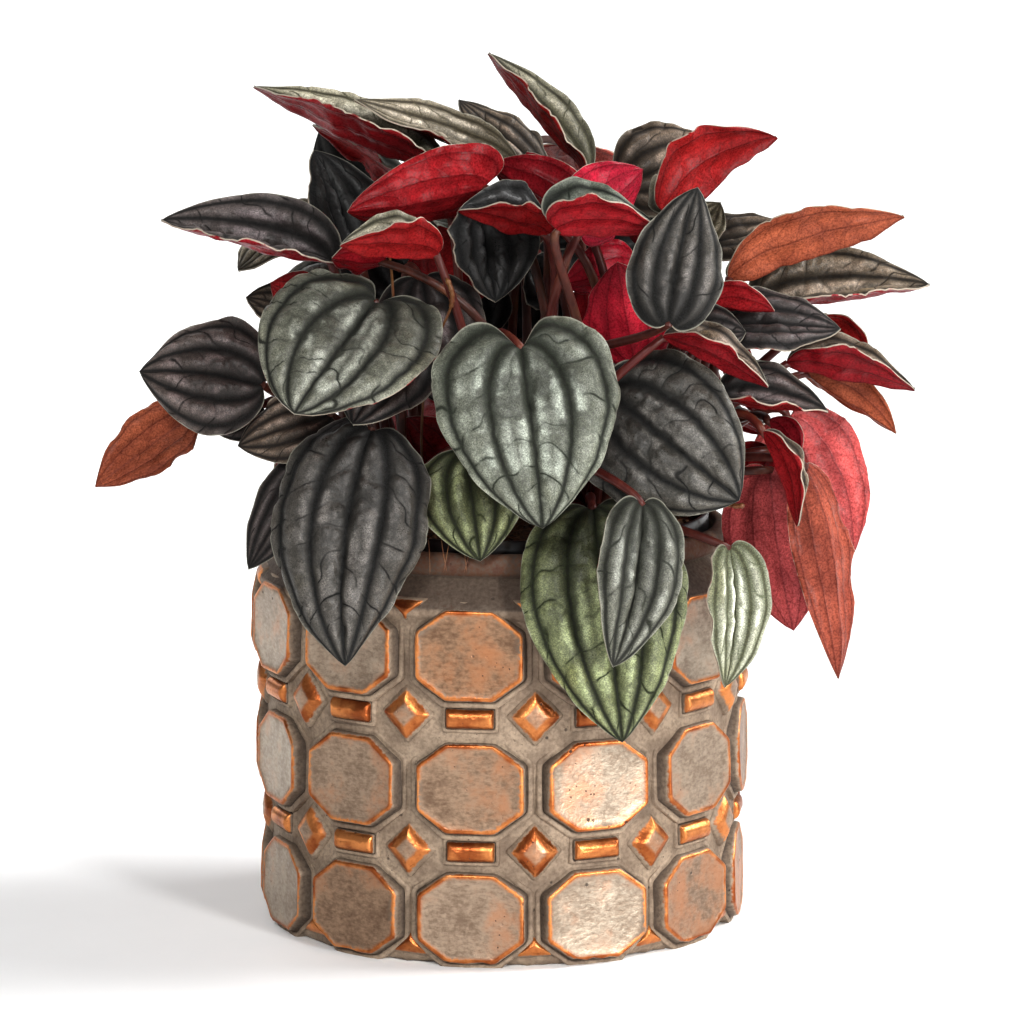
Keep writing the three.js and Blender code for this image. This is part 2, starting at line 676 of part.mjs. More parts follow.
function potBody() {
  const footRadius = groundRadius - potLean * shoulderBottom;
  return lathe([
    [0, 0],
    [footRadius - footRound, 0],
    [footRadius - footRound / 4, footRound / 3],
    [footRadius, footRound],
    [groundRadius, shoulderBottom],
    [shoulderRadius, shoulderBottom + shoulderStep],
    [shoulderRadius, shoulderTop],
    [creaseRadius, creaseHeight],
    [rimRadius - rimRound / 8, creaseHeight + rimRound / 2],
    [rimRadius, creaseHeight + rimRound],
    [rimRadius - rimRound / 3, rimTop - rimRound / 3],
    [rimRadius - rimRound, rimTop],
    [neckInnerRadius + rimRound / 4, rimTop - rimRound / 6],
    [neckInnerRadius, rimTop - rimRound],
    [neckInnerRadius, creaseHeight - rimRound],
    [wallInnerRadius, shoulderTop],
    [wallInnerRadius - floorRound / 4, potFloor + floorRound],
    [wallInnerRadius - floorRound, potFloor],
    [0, potFloor],
  ], potSides);
}

function octagonShape() {
  const halfWidth = octagonWidth / 2;
  const halfHeight = octagonHeight / 2;
  const flatX = halfWidth - octagonCornerX;
  const flatZ = halfHeight - octagonCornerZ;
  return new THREE.Shape([
    new THREE.Vector2(-flatX, -halfHeight),
    new THREE.Vector2(flatX, -halfHeight),
    new THREE.Vector2(halfWidth, -flatZ),
    new THREE.Vector2(halfWidth, flatZ),
    new THREE.Vector2(flatX, halfHeight),
    new THREE.Vector2(-flatX, halfHeight),
    new THREE.Vector2(-halfWidth, flatZ),
    new THREE.Vector2(-halfWidth, -flatZ),
  ]);
}

// Shapes drawn facing +Z are stood up to face -Y, leaned with the wall, set out to it and turned round.
function placeOnWall(geometry, height, angle) {
  geometry.rotateX(Math.PI / 2 - Math.atan(potLean));
  geometry.translate(0, 0, height);
  geometry.rotateZ(radians(angle));
  return solidOf(geometry);
}

function wallInset(height) {
  return potLean * (rowHeights[0] - height);
}

function octagonBlock(height, angle) {
  const depth = octagonFace - octagonRoot;
  const geometry = new THREE.ExtrudeGeometry(octagonShape(), { depth, bevelEnabled: false });
  geometry.translate(0, 0, octagonRoot - wallInset(height));
  return placeOnWall(geometry, height, angle);
}

function barBlock(height, angle) {
  const geometry = new THREE.CylinderGeometry(barWidth / 2, barWidth / 2, barLength, barSides);
  geometry.rotateZ(Math.PI / 2);
  geometry.scale(1, 1, barRise / (barWidth / 2));
  geometry.translate(0, 0, groundRadius - wallInset(height));
  return placeOnWall(geometry, height, angle);
}

function diamondBlock(height, angle) {
  const spread = 2;
  const geometry = new THREE.ConeGeometry(spread, spread * diamondRise, 4);
  geometry.rotateX(Math.PI / 2);
  geometry.scale(diamondWidth / 2, diamondTall / 2, 1);
  geometry.translate(0, 0, groundRadius - wallInset(height));
  return placeOnWall(geometry, height, angle);
}

// The diamonds that the shoulder and the base cut off: a low three-sided point, tip down or tip up.
function halfDiamondBlock(height, angle, tipUp) {
  const spread = 2;
  const geometry = new THREE.ConeGeometry(spread, spread * diamondRise, 3);
  geometry.rotateX(Math.PI / 2);
  geometry.scale(halfDiamondWidth / Math.sqrt(3), halfDiamondTall / 1.5, 1);
  if (tipUp) geometry.rotateZ(Math.PI);
  geometry.translate(0, 0, groundRadius - wallInset(height));
  return placeOnWall(geometry, height, angle);
}

function decorativePot() {
  const blocks = [];
  const step = 360 / columnCount;
  for (let column = 0; column < columnCount; column += 1) {
    const angle = firstColumnAngle + step * column;
    rowHeights.forEach((height) => blocks.push(octagonBlock(height, angle)));
    barHeights.forEach((height) => blocks.push(barBlock(height, angle)));
    diamondHeights.forEach((height) => blocks.push(diamondBlock(height, angle + step / 2)));
    blocks.push(halfDiamondBlock(shoulderTop - halfDiamondTall / 3, angle + step / 2, false));
    blocks.push(halfDiamondBlock(reliefFoot + halfDiamondTall / 3, angle + step / 2, true));
  }
  const under = upright(2 * octagonFace, -octagonHeight, reliefFoot, 4, 0, 0);
  return potBody().add(join(blocks).subtract(under));
}

// Nursery pot

function nurseryPot() {
  const foot = potFloor + gap;
  const shell = lathe([
    [0, foot],
    [nurseryFootRadius, foot],
    [nurseryFootRadius + nurseryRound, foot + nurseryRound],
    [nurseryWaistRadius, nurseryLip - nurseryRound],
    [nurseryRimRadius, nurseryLip],
    [nurseryRimRadius, nurseryTop - nurseryRound / 2],
    [nurseryRimRadius - nurseryRound / 2, nurseryTop],
    [nurseryInnerRim, nurseryTop],
    [nurseryInnerRim, nurseryLip + nurseryRound],
    [nurseryWaistRadius - nurseryWall, nurseryLip - nurseryRound],
    [nurseryFootRadius, foot + nurseryWall + nurseryRound],
    [nurseryFootRadius - nurseryRound, foot + nurseryWall],
    [0, foot + nurseryWall],
  ], nurserySides);
  const drains = [];
  for (let drain = 0; drain < drainCount; drain += 1) {
    const angle = radians(360 / drainCount * drain);
    const x = drainRing * Math.cos(angle);
    const y = drainRing * Math.sin(angle);
    drains.push(upright(drainRadius, potFloor - 2, potFloor + 4, crownSides, x, y));
  }
  return shell.subtract(join(drains));
}

// Soil

function soil() {
  const bottom = potFloor + nurseryWall + 2 * gap;
  const fill = lathe([
    [0, bottom],
    [nurseryFootRadius - nurseryRound - 2 * gap, bottom],
    [nurseryFootRadius - 2 * gap, bottom + nurseryRound],
    [nurseryWaistRadius - nurseryWall - 2 * gap, nurseryLip - nurseryRound],
    [nurseryInnerRim - 2 * gap, nurseryLip + 2 * nurseryRound],
    [nurseryInnerRim - 2 * gap, soilTop - soilRound],
    [nurseryInnerRim - 5 * soilRound, soilTop],
    [nurseryInnerRim / 2, soilCrown],
    [0, soilCrown],
  ], soilSides);
  const holes = Object.values(crownPlaces).map(([x, y]) => (
    upright(rootHoleRadius, rootHoleFloor, nurseryTop, crownSides, x, y)
  ));
  return fill.subtract(join(holes));
}

// Leaves

// Own axes of a blade: along from stalk to tip, across to its left, and up out of its upper face.
function bladeFrame(leaf) {
  const base = new THREE.Vector3(...leaf.base);
  const along = new THREE.Vector3(...leaf.tip).sub(base);
  const chord = along.length();
  along.divideScalar(chord);
  const up = new THREE.Vector3(...leaf.facing).normalize();
  up.addScaledVector(along, -up.dot(along)).normalize();
  const across = new THREE.Vector3().crossVectors(up, along);
  return { base, along, up, across, chord };
}

// Point and outward direction of the blade's middle surface: way 0 to 1 runs from stalk to tip along the
// veins, and side -1 to 1 from edge to edge.
function bladePoint(leaf, frame, way, side) {
  const { growth, taper, lobe } = bladeForms[leaf.form];
  const peak = growth / (growth + taper);
  const fullest = peak ** growth * (1 - peak) ** taper;
  const halfWidth = leaf.width / 2 * way ** growth * (1 - way) ** taper / fullest;
  const reach = way - lobe * side * side * (1 - way) * way / (way + lobeRound);
  const held = Math.min(Math.max(reach, 0), 1);

  const bend = radians(leaf.bend || leastAngle);
  const sweep = radians(leaf.sweep || leastAngle);
  const slope = bend * (0.5 - held);
  const heading = sweep * (1 - 2 * held);
  const ribX = (Math.sin(bend / 2) - Math.sin(slope)) / (2 * Math.sin(bend / 2));
  const ribZ = (Math.cos(slope) - Math.cos(bend / 2)) / (2 * Math.sin(bend / 2));
  const ribY = (Math.cos(heading) - Math.cos(sweep)) / (2 * Math.sin(sweep));
  const past = (reach - held) * (bend / 2) / Math.sin(bend / 2);

  const fold = radians(leaf.fold);
  const cup = radians(leaf.cup || leastAngle);
  const lift = fold + cup * Math.abs(side);
  const out = halfWidth * Math.sign(side) * (Math.sin(lift) - Math.sin(fold)) / cup;
  const rise = halfWidth * (Math.cos(fold) - Math.cos(lift)) / cup;

  const forward = frame.chord * (ribX + past * Math.cos(slope));
  const x = forward - rise * Math.sin(slope) - out * Math.sin(heading);
  const y = frame.chord * (ribY + past * Math.sin(heading)) + out * Math.cos(heading);
  const z = frame.chord * (ribZ + past * Math.sin(slope)) + rise * Math.cos(slope);
  const point = frame.base.clone()
    .addScaledVector(frame.along, x)
    .addScaledVector(frame.across, y)
    .addScaledVector(frame.up, z);

  const straightUp = side === 0 ? 1 / Math.cos(fold) : Math.cos(lift);
  const sideways = side === 0 ? 0 : -Math.sign(side) * Math.sin(lift);
  const outward = new THREE.Vector3()
    .addScaledVector(frame.up, straightUp * Math.cos(slope))
    .addScaledVector(frame.along, -straightUp * Math.sin(slope) - sideways * Math.sin(heading))
    .addScaledVector(frame.across, sideways * Math.cos(heading));
  return { point, outward };
}

// A closed thin blade: an upper and a lower skin with triangles alike, and a strip round the edge.
function blade(leaf) {
  const frame = bladeFrame(leaf);
  const rows = leaf.width < wideBlade ? smallBladeRows : wideBladeRows;
  const positions = [];
  const upper = [];
  const lower = [];
  for (let row = 0; row <= rows; row += 1) {
    const way = (row / rows) ** rowCrowding;
    const pointed = row === 0 || row === rows;
    const columns = pointed ? [bladeColumns / 2] : Array.from({ length: bladeColumns + 1 }, (_, i) => i);
    const upperRow = [];
    const lowerRow = [];
    columns.forEach((column) => {
      const side = 2 * column / bladeColumns - 1;
      const { point, outward } = bladePoint(leaf, frame, way, side);
      const top = point.clone().addScaledVector(outward, bladeThickness / 2);
      const bottom = point.clone().addScaledVector(outward, -bladeThickness / 2);
      upperRow.push(positions.length / 3);
      positions.push(top.x, top.y, top.z);
      lowerRow.push(positions.length / 3);
      positions.push(bottom.x, bottom.y, bottom.z);
    });
    upper.push(upperRow);
    lower.push(lowerRow);
  }
  const triangles = [];
  const pick = (row, column) => row[Math.min(column, row.length - 1)];
  const face = (a, b, c) => {
    if (a !== b && b !== c && c !== a) triangles.push(a, b, c);
  };
  for (let row = 0; row < rows; row += 1) {
    for (let column = 0; column < bladeColumns; column += 1) {
      const next = column + 1;
      face(pick(upper[row], column), pick(upper[row + 1], column), pick(upper[row], next));
      face(pick(upper[row], next), pick(upper[row + 1], column), pick(upper[row + 1], next));
      face(pick(lower[row], column), pick(lower[row], next), pick(lower[row + 1], column));
      face(pick(lower[row], next), pick(lower[row + 1], next), pick(lower[row + 1], column));
    }
    [0, bladeColumns].forEach((edge) => {
      const quad = [
        pick(upper[row], edge),
        pick(upper[row + 1], edge),
        pick(lower[row + 1], edge),
        pick(lower[row], edge),
      ];
      if (edge === 0) quad.reverse();
      face(quad[0], quad[1], quad[2]);
      face(quad[0], quad[2], quad[3]);
    });
  }
  const geometry = new THREE.BufferGeometry();
  geometry.setAttribute('position', new THREE.Float32BufferAttribute(positions, 3));
  geometry.setIndex(triangles);
  return solidOf(geometry);
}

// A stalk leaves its crown upward, leans out and comes up to the blade from behind.
function stalk(leaf) {
  const frame = bladeFrame(leaf);
  const [crownX, crownY] = crownPlaces[leaf.crown];
  const angle = Math.atan2(frame.base.y - crownY, frame.base.x - crownX);
  const outward = new THREE.Vector3(Math.cos(angle), Math.sin(angle), 0);
  const sideways = new THREE.Vector3(-Math.sin(angle), Math.cos(angle), 0);
  const start = new THREE.Vector3(crownX, crownY, stalkStart).addScaledVector(outward, stalkSpread);
  const reach = start.distanceTo(frame.base);
  const { along, behind } = stalkForms[leaf.stalk];
  const leaving = start.clone()
    .addScaledVector(new THREE.Vector3(0, 0, 1), leaf.rise * reach)
    .addScaledVector(outward, leavingLean * reach)
    .addScaledVector(sideways, leaf.sway * reach);
  const arriving = frame.base.clone()
    .addScaledVector(frame.along, -along * reach)
    .addScaledVector(frame.up, -behind * reach)
    .addScaledVector(sideways, arrivingSway * leaf.sway * reach);
  const section = new THREE.Shape();
  for (let corner = 0; corner < stalkSides; corner += 1) {
    const turn = radians(360 / stalkSides * corner);
    const x = stalkRadius * Math.cos(turn);
    const y = stalkRadius * Math.sin(turn);
    if (corner === 0) section.moveTo(x, y);
    else section.lineTo(x, y);
  }
  section.closePath();
  return solidOf(new THREE.ExtrudeGeometry(section, {
    steps: stalkSteps,
    bevelEnabled: false,
    extrudePath: new THREE.CubicBezierCurve3(start, leaving, arriving, frame.base),
  }));
}

function ringLeaves(ring) {
  return ring.crowns.map((crown, index) => {
    const angle = radians(ring.firstAngle + ring.step * index);
    const east = Math.cos(angle);
    const north = Math.sin(angle);
    const raised = ring.stagger * (index % 2 ? 1 : -1);
    const waver = ((index * 7) % 5 - 2) / 2;
    const turn = ringTurn * waver;
    const baseHeight = ring.baseHeight + baseStagger * raised;
    const tipHeight = ring.tipHeight - ring.droop * north * north + tipStagger * raised;
    return {
      name: `${ring.name}${index + 1}`,
      crown,
      base: [ringReachX * east * ring.baseReach, ringReachY * north * ring.baseReach, baseHeight],
      tip: [ringReachX * east * ring.tipReach, ringReachY * north * ring.tipReach, tipHeight],
      facing: [east + turn * north, north - turn * east, ring.look],
      form: 'ovate',
      width: ring.width + waver,
      fold: 14,
      cup: -30,
      bend: 24,
      sweep: 0,
      stalk: 'over',
      rise: 0.5,
      sway: 0,
    };
  });
}

const leaves = [...shownLeaves, ...rings.flatMap(ringLeaves)];

function crown(name) {
  const [x, y] = crownPlaces[name];
  const grown = leaves.filter((leaf) => leaf.crown === name);
  const stem = upright(crownStemRadius, crownStemFoot, crownStemTop, crownSides, x, y);
  return join([stem, ...grown.map(stalk), ...grown.map(blade)]);
}

// Assembly

const plant = new THREE.Group();
plant.add(named('decorative_pot', decorativePot(), 0x8f8078, 0.6, 0.3));
plant.add(named('nursery_pot', nurseryPot(), 0x17181a, 0.45, 0));
plant.add(named('soil', soil(), 0x33231b, 0.95, 0));
Object.keys(crownPlaces).forEach((name, index) => {
  const colour = new THREE.Color(0x5d6660).offsetHSL(0, 0, (index % 3 - 1) * 0.04);
  plant.add(named(`crown_${name}`, crown(name), colour, 0.5, 0));
});

export default plant;
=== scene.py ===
import math
import random

import bpy
import bmesh
from mathutils import Matrix, Vector, geometry, noise


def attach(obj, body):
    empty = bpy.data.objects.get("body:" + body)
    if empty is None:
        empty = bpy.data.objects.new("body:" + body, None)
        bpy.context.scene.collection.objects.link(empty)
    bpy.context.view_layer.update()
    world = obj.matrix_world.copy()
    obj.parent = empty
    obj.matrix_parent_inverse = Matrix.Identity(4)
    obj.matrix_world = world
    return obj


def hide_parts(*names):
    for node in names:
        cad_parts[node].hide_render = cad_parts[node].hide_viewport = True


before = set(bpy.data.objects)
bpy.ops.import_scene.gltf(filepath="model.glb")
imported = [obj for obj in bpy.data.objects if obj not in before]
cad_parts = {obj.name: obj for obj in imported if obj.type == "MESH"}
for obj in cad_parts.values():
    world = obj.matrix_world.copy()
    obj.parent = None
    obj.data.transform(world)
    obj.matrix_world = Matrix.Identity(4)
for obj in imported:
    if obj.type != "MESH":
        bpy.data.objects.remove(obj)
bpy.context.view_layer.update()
print("frame loaded,", len(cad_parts), "solids")

# Lengths are millimetres. A finished mesh is scaled to metres in one go.
toMetres = 0.001


# Meshes

def newMesh():
    bm = bmesh.new()
    bm.loops.layers.uv.new("UVMap")
    return bm


def addObject(name, data):
    made = bpy.data.objects.new(name, data)
    bpy.context.scene.collection.objects.link(made)
    return made


def finishPiece(name, bm, materials, node, sharpAngle=40):
    bmesh.ops.recalc_face_normals(bm, faces=bm.faces)
    bmesh.ops.scale(bm, vec=(toMetres,) * 3, verts=bm.verts)
    mesh = bpy.data.meshes.new(name)
    bm.to_mesh(mesh)
    bm.free()
    for material in materials:
        mesh.materials.append(material)
    mesh.shade_smooth()
    mesh.set_sharp_from_angle(angle=math.radians(sharpAngle))
    piece = addObject(name, mesh)
    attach(piece, "root")
    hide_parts(node)
    print("made", name, len(mesh.polygons), "faces")


# A profile of (radius, height) turned about the upright axis, closed where it meets the axis.
def turnedShell(bm, profile, steps):
    verts = [bm.verts.new((radius, 0, height)) for radius, height in profile]
    edges = [bm.edges.new(pair) for pair in zip(verts, verts[1:])]
    bmesh.ops.spin(bm, geom=verts + edges, axis=(0, 0, 1), cent=(0, 0, 0), dvec=(0, 0, 0),
                   angle=math.tau, steps=steps, use_merge=True)
    bmesh.ops.remove_doubles(bm, verts=bm.verts, dist=0.001)


# Extra points on the long stretches of a profile.
def finerProfile(profile, spacing):
    finer = [profile[0]]
    for first, second in zip(profile, profile[1:]):
        pieces = max(1, round(math.dist(first, second) / spacing))
        for step in range(1, pieces + 1):
            share = step / pieces
            finer.append((first[0] + (second[0] - first[0]) * share, first[1] + (second[1] - first[1]) * share))
    return finer


# A round tube along points, closed where its radius is 0: a square sheet rolled round the path.
def addTube(bm, points, radii, sides, matIndex, mark):
    count = len(points)
    ways = [(points[min(i + 1, count - 1)] - points[max(i - 1, 0)]).normalized() for i in range(count)]
    normal = ways[0].orthogonal().normalized()
    normals = [normal]
    for before, after in zip(ways, ways[1:]):
        normal = before.rotation_difference(after) @ normal
        normals.append(normal)
    verts = bmesh.ops.create_grid(bm, x_segments=sides, y_segments=count - 1, size=1)["verts"]
    for vert in verts:
        step = min(count - 1, max(0, round((vert.co.y + 1) / 2 * (count - 1))))
        turn = math.pi * (vert.co.x + 1)
        side = ways[step].cross(normals[step])
        vert.co = points[step] + (normals[step] * math.cos(turn) + side * math.sin(turn)) * radii[step]
        mark(vert)
    for face in {face for vert in verts for face in vert.link_faces}:
        face.material_index = matIndex
    bmesh.ops.remove_doubles(bm, verts=verts, dist=0.004)


def roundedEnds(count, start, end):
    radii = [start + (end - start) * i / (count - 1) for i in range(count)]
    radii[0] = radii[-1] = 0
    return radii


# Materials

def paint(red, green, blue):
    def linear(value):
        share = value / 255
        return share / 12.92 if share <= 0.04045 else ((share + 0.055) / 1.055) ** 2.4
    return (linear(red), linear(green), linear(blue), 1)


def newMaterial(name, roughness, specular=0.5):
    material = bpy.data.materials.new(name)
    material.use_nodes = True
    tree = material.node_tree
    shader = tree.nodes["Principled BSDF"]
    shader.inputs["Roughness"].default_value = roughness
    shader.inputs["Specular IOR Level"].default_value = specular
    return material, tree, shader


def feed(socket, value):
    if isinstance(value, bpy.types.NodeSocket):
        socket.id_data.links.new(value, socket)
    else:
        socket.default_value = value


# A node in the same tree as whichever of the values comes from another node.
def nodeFor(kind, *values):
    linked = next(value for value in values if isinstance(value, bpy.types.NodeSocket))
    return linked.id_data.nodes.new(kind)


def calc(operation, *values):
    node = nodeFor("ShaderNodeMath", *values)
    node.operation = operation
    for socket, value in zip(node.inputs, values):
        feed(socket, value)
    return node.outputs[0]


def times(first, second):
    return calc("MULTIPLY", first, second)


def plus(first, second):
    return calc("ADD", first, second)


def minus(first, second):
    return calc("SUBTRACT", first, second)


def fade(value, start, end, low=0, high=1):
    node = nodeFor("ShaderNodeMapRange", value)
    node.interpolation_type = "SMOOTHSTEP"
    for label, given in (("Value", value), ("From Min", start), ("From Max", end), ("To Min", low), ("To Max", high)):
        feed(node.inputs[label], given)
    return node.outputs["Result"]


def mixed(factor, first, second, mode="MIX"):
    node = nodeFor("ShaderNodeMix", factor, first, second)
    node.data_type = "RGBA"
    node.blend_type = mode
    for index, value in ((0, factor), (6, first), (7, second)):
        feed(node.inputs[index], value)
    return node.outputs[2]


def dyed(colour, dye):
    return mixed(1, colour, dye, "MULTIPLY")


def grey(value):
    return (value, value, value, 1)


def attribute(tree, name, output="Fac"):
    node = tree.nodes.new("ShaderNodeAttribute")
    node.attribute_name = name
    return node.outputs[output]


# Noise and cells are sized by how many of them a metre holds.
def objectPlace(tree, scale):
    coordinates = tree.nodes.new("ShaderNodeTexCoord")
    mapping = tree.nodes.new("ShaderNodeMapping")
    mapping.inputs["Scale"].default_value = scale if isinstance(scale, tuple) else (scale,) * 3
    tree.links.new(coordinates.outputs["Object"], mapping.inputs["Vector"])
    return mapping.outputs["Vector"]


def clouds(tree, scale, detail=3, roughness=0.55):
    node = tree.nodes.new("ShaderNodeTexNoise")
    node.inputs["Scale"].default_value = 1
    node.inputs["Detail"].default_value = detail
    node.inputs["Roughness"].default_value = roughness
    tree.links.new(objectPlace(tree, scale), node.inputs["Vector"])
    return node.outputs["Fac"]


def cells(tree, scale, feature="F1"):
    node = tree.nodes.new("ShaderNodeTexVoronoi")
    node.feature = feature
    node.inputs["Scale"].default_value = 1
    tree.links.new(objectPlace(tree, scale), node.inputs["Vector"])
    return node.outputs["Distance"]


def bump(shader, height, strength, distance):
    node = nodeFor("ShaderNodeBump", height)
    for label, value in (("Strength", strength), ("Distance", distance), ("Height", height)):
        feed(node.inputs[label], value)
    feed(shader.inputs["Normal"], node.outputs["Normal"])


# Camera, light and floor

studio = {
    "cameraPlace": (0.0027, -1.2662, 0.3193),
    "cameraPitch": 81,
    "focalLength": 154.5,
    "gamma": 0.88,
    "skyStrength": 0.27,
    "floorTone": grey(0.96),
    "floorReach": 16,
    "suns": {
        "sideSun": {"place": (1, 0.22, 0.88), "softness": 32, "strength": 3.9},
        "frontSun": {"place": (-0.2, -1, 0.74), "softness": 12, "strength": 1.8},
        "rightSun": {"place": (0.75, -1, 0.5), "softness": 10, "strength": 1.5},
        "backSun": {"place": (-0.5, 1, 0.8), "softness": 40, "strength": 0.7},
    },
    "boxes": {
        "lowBox": {"place": (0.7, -1, 0.2), "size": 0.22, "power": 5.5},
    },
    "aim": (0, 0, 0.12),
}


def hang(light, place):
    lamp = addObject(light.name, light)
    lamp.location = place
    away = Vector(place) - Vector(studio["aim"])
    lamp.rotation_euler = away.to_track_quat("Z", "Y").to_euler()


def addStudio():
    scene = bpy.context.scene
    scene.view_settings.view_transform = "Standard"
    scene.view_settings.gamma = studio["gamma"]
    camera = addObject("camera", bpy.data.cameras.new("camera"))
    camera.location = studio["cameraPlace"]
    camera.rotation_euler = (math.radians(studio["cameraPitch"]), 0, 0)
    camera.data.lens = studio["focalLength"]
    scene.camera = camera

    world = bpy.data.worlds.new("studioSky")
    world.use_nodes = True
    world.node_tree.nodes["Background"].inputs["Color"].default_value = grey(1)
    world.node_tree.nodes["Background"].inputs["Strength"].default_value = studio["skyStrength"]
    scene.world = world

    for name, light in studio["suns"].items():
        sun = bpy.data.lights.new(name, "SUN")
        sun.energy = light["strength"]
        sun.angle = math.radians(light["softness"])
        hang(sun, light["place"])
    for name, light in studio["boxes"].items():
        box = bpy.data.lights.new(name, "AREA")
        box.energy = light["power"]
        box.size = light["size"]
        hang(box, light["place"])

    material, tree, shader = newMaterial("floorPaper", 0.9, specular=0)
    grain = fade(clouds(tree, 40), 0.3, 0.7, 0.985, 1)
    tone = dyed(studio["floorTone"], grain)
    feed(shader.inputs["Base Color"], tone)
    bm = newMesh()
    bmesh.ops.create_grid(bm, x_segments=1, y_segments=1, size=studio["floorReach"])
    mesh = bpy.data.meshes.new("floor")
    bm.to_mesh(mesh)
    bm.free()
    mesh.materials.append(material)
    addObject("floor", mesh)


addStudio()
print("studio ready")


# Decorative pot

pot = {
    "groundRadius": 69.8, "lean": 0.03, "shoulderBottom": 99, "shoulderTop": 103, "shoulderRadius": 71.2,
    "creaseRadius": 64.2, "creaseHeight": 110, "rimTop": 117, "rimRadius": 66.3,
    "innerRadius": 62.8, "neckRadius": 61.4, "floorHeight": 10,
    "columns": 12, "firstAngle": -7.4, "rowHeights": (87.4, 49.5, 12.2),
    "octagon": (31, 26), "octagonCorner": (8.4, 6.2), "barHeights": (69.3, 31.2), "bar": (13.5, 5.6),
    "diamondHeights": (70, 31.3), "diamond": (15, 16), "halfDiamond": (13, 7),
    "step": 1.8, "buried": 5, "turnSteps": 180, "wallSpacing": 3, "footHeight": 0.5,
    "paintedLightWave": (1.45, 0.5, 0.8), "roughness": ((0.035, 0.35), (0.16, 0.16), (0.7, 0.07)),
    "raggedFoot": {"below": 2.5, "pitch": 0.45, "depth": 0.9}, "sharpAngle": 50,
    # Rub, worn and grime by band. The grime on the rim, shoulder and crease is dirt and painted shade, heaviest on the
    # rim under the leaves.
    "rimWearAndShade": (0.66, 0, 1.25), "shoulderWearAndShade": (0.46, 0, 1), "creaseDirtAndShade": (0, 0, 1), "wallWear": (0.12, 0, 0),
}

# Levels of a raised block: inset across, inset up, height over the wall, how far it follows the wall's curve,
# copper rubbed on, worn bare, and dirt left in it with painted shade, darkest in the groove round its foot.
octagonLevels = (
    (0, 0, 0.25, 1, 0.1, 0, 0.2), (0.35, 0.35, 0.5, 1, 0.34, 0, 0), (1.1, 1.1, 0.5, 1, 0.22, 0, 0.1),
    (1.6, 1.6, 0.05, 1, 0, 0, 1), (1.8, 1.8, 0.3, 0.9, 0.05, 0, 1), (1.95, 1.95, 1.5, 0.4, 0.3, 0, 0.7),
    (2.15, 2.15, 2.1, 0.2, 0.6, 0, 0.2), (2.5, 2.5, 2.45, 0.1, 0.9, 0, 0), (2.85, 2.85, 2.52, 0.1, 0.85, 0, 0),
    (3.3, 3.3, 2.4, 0.1, 0.7, 0.42, 0), (4, 4, 2.24, 0.1, 0.62, 0.6, 0), (6.5, 6.5, 2.15, 0.1, 0.4, 0.9, 0),
    (9.5, 9.5, 2.15, 0.1, 0.26, 1, 0), (12.5, 11.5, 2.15, 0.1, 0.26, 1, 0),
)
barLevels = (
    (0, 0, 0.2, 1, 0.1, 0, 0.3), (0.3, 0.3, 0.5, 1, 0.3, 0, 0), (0.8, 0.8, 0.45, 1, 0.2, 0, 0.2),
    (1.1, 1.1, 0, 1, 0, 0, 1), (1.25, 1.2, 0.3, 1, 0.3, 0, 0.8), (1.32, 1.35, 1, 0.5, 0.8, 0, 0),
    (1.42, 1.65, 1.5, 0.5, 0.95, 0, 0), (1.6, 2.1, 1.95, 0.5, 1, 0.05, 0), (1.9, 2.7, 2.3, 0.5, 1, 0.1, 0),
    (2.4, 3.3, 2.48, 0.5, 1, 0.1, 0), (3.2, 3.8, 2.52, 0.5, 1, 0.1, 0),
)
diamondLevels = (
    (0, 0, -0.1, 1, 0.1, 0, 0.4), (0.5, 0.5, 0.25, 1, 0.25, 0, 0.3), (1, 1, 0.6, 1, 0.55, 0, 0.1),
    (1.8, 1.9, 1.3, 0.8, 0.85, 0, 0), (2.9, 3.1, 2, 0.6, 1, 0.1, 0), (4, 4.3, 2.45, 0.5, 0.95, 0.3, 0),
    (5.2, 5.6, 2.7, 0.5, 0.7, 0.6, 0), (6.4, 6.9, 2.78, 0.5, 0.6, 0.7, 0),
)
halfDiamondLevels = (
    (0, 0, -0.3, 1, 0.1, 0, 0.4), (0.4, 0.3, 0.1, 1, 0.3, 0, 0.2), (1.2, 0.8, 0.7, 0.9, 0.8, 0, 0),
    (2.4, 1.5, 1.2, 0.8, 1, 0, 0), (3.8, 2.4, 1.6, 0.8, 0.9, 0.2, 0), (5, 3, 1.7, 0.8, 0.8, 0.3, 0),
)


def wallInset(height):
    return pot["lean"] * (pot["rowHeights"][0] - height)


# Corners rounded to short arcs and long sides given points every few millimetres.
def softOutline(corners, radius=1, spacing=2.6):
    outline = []
    count = len(corners)
    for index, corner in enumerate(corners):
        here = Vector(corner)
        before = (Vector(corners[index - 1]) - here).normalized() * radius
        after = (Vector(corners[(index + 1) % count]) - here).normalized() * radius
        arc = [here + before, here + (before + after) * 0.26, here + after]
        if outline:
            gap = (arc[0] - outline[-1]).length
            pieces = max(1, round(gap / spacing))
            last = outline[-1]
            outline += [last.lerp(arc[0], step / pieces) for step in range(1, pieces)]
        outline += arc
    gap = (outline[0] - outline[-1]).length
    pieces = max(1, round(gap / spacing))
    last = outline[-1]
    outline += [last.lerp(outline[0], step / pieces) for step in range(1, pieces)]
    return outline


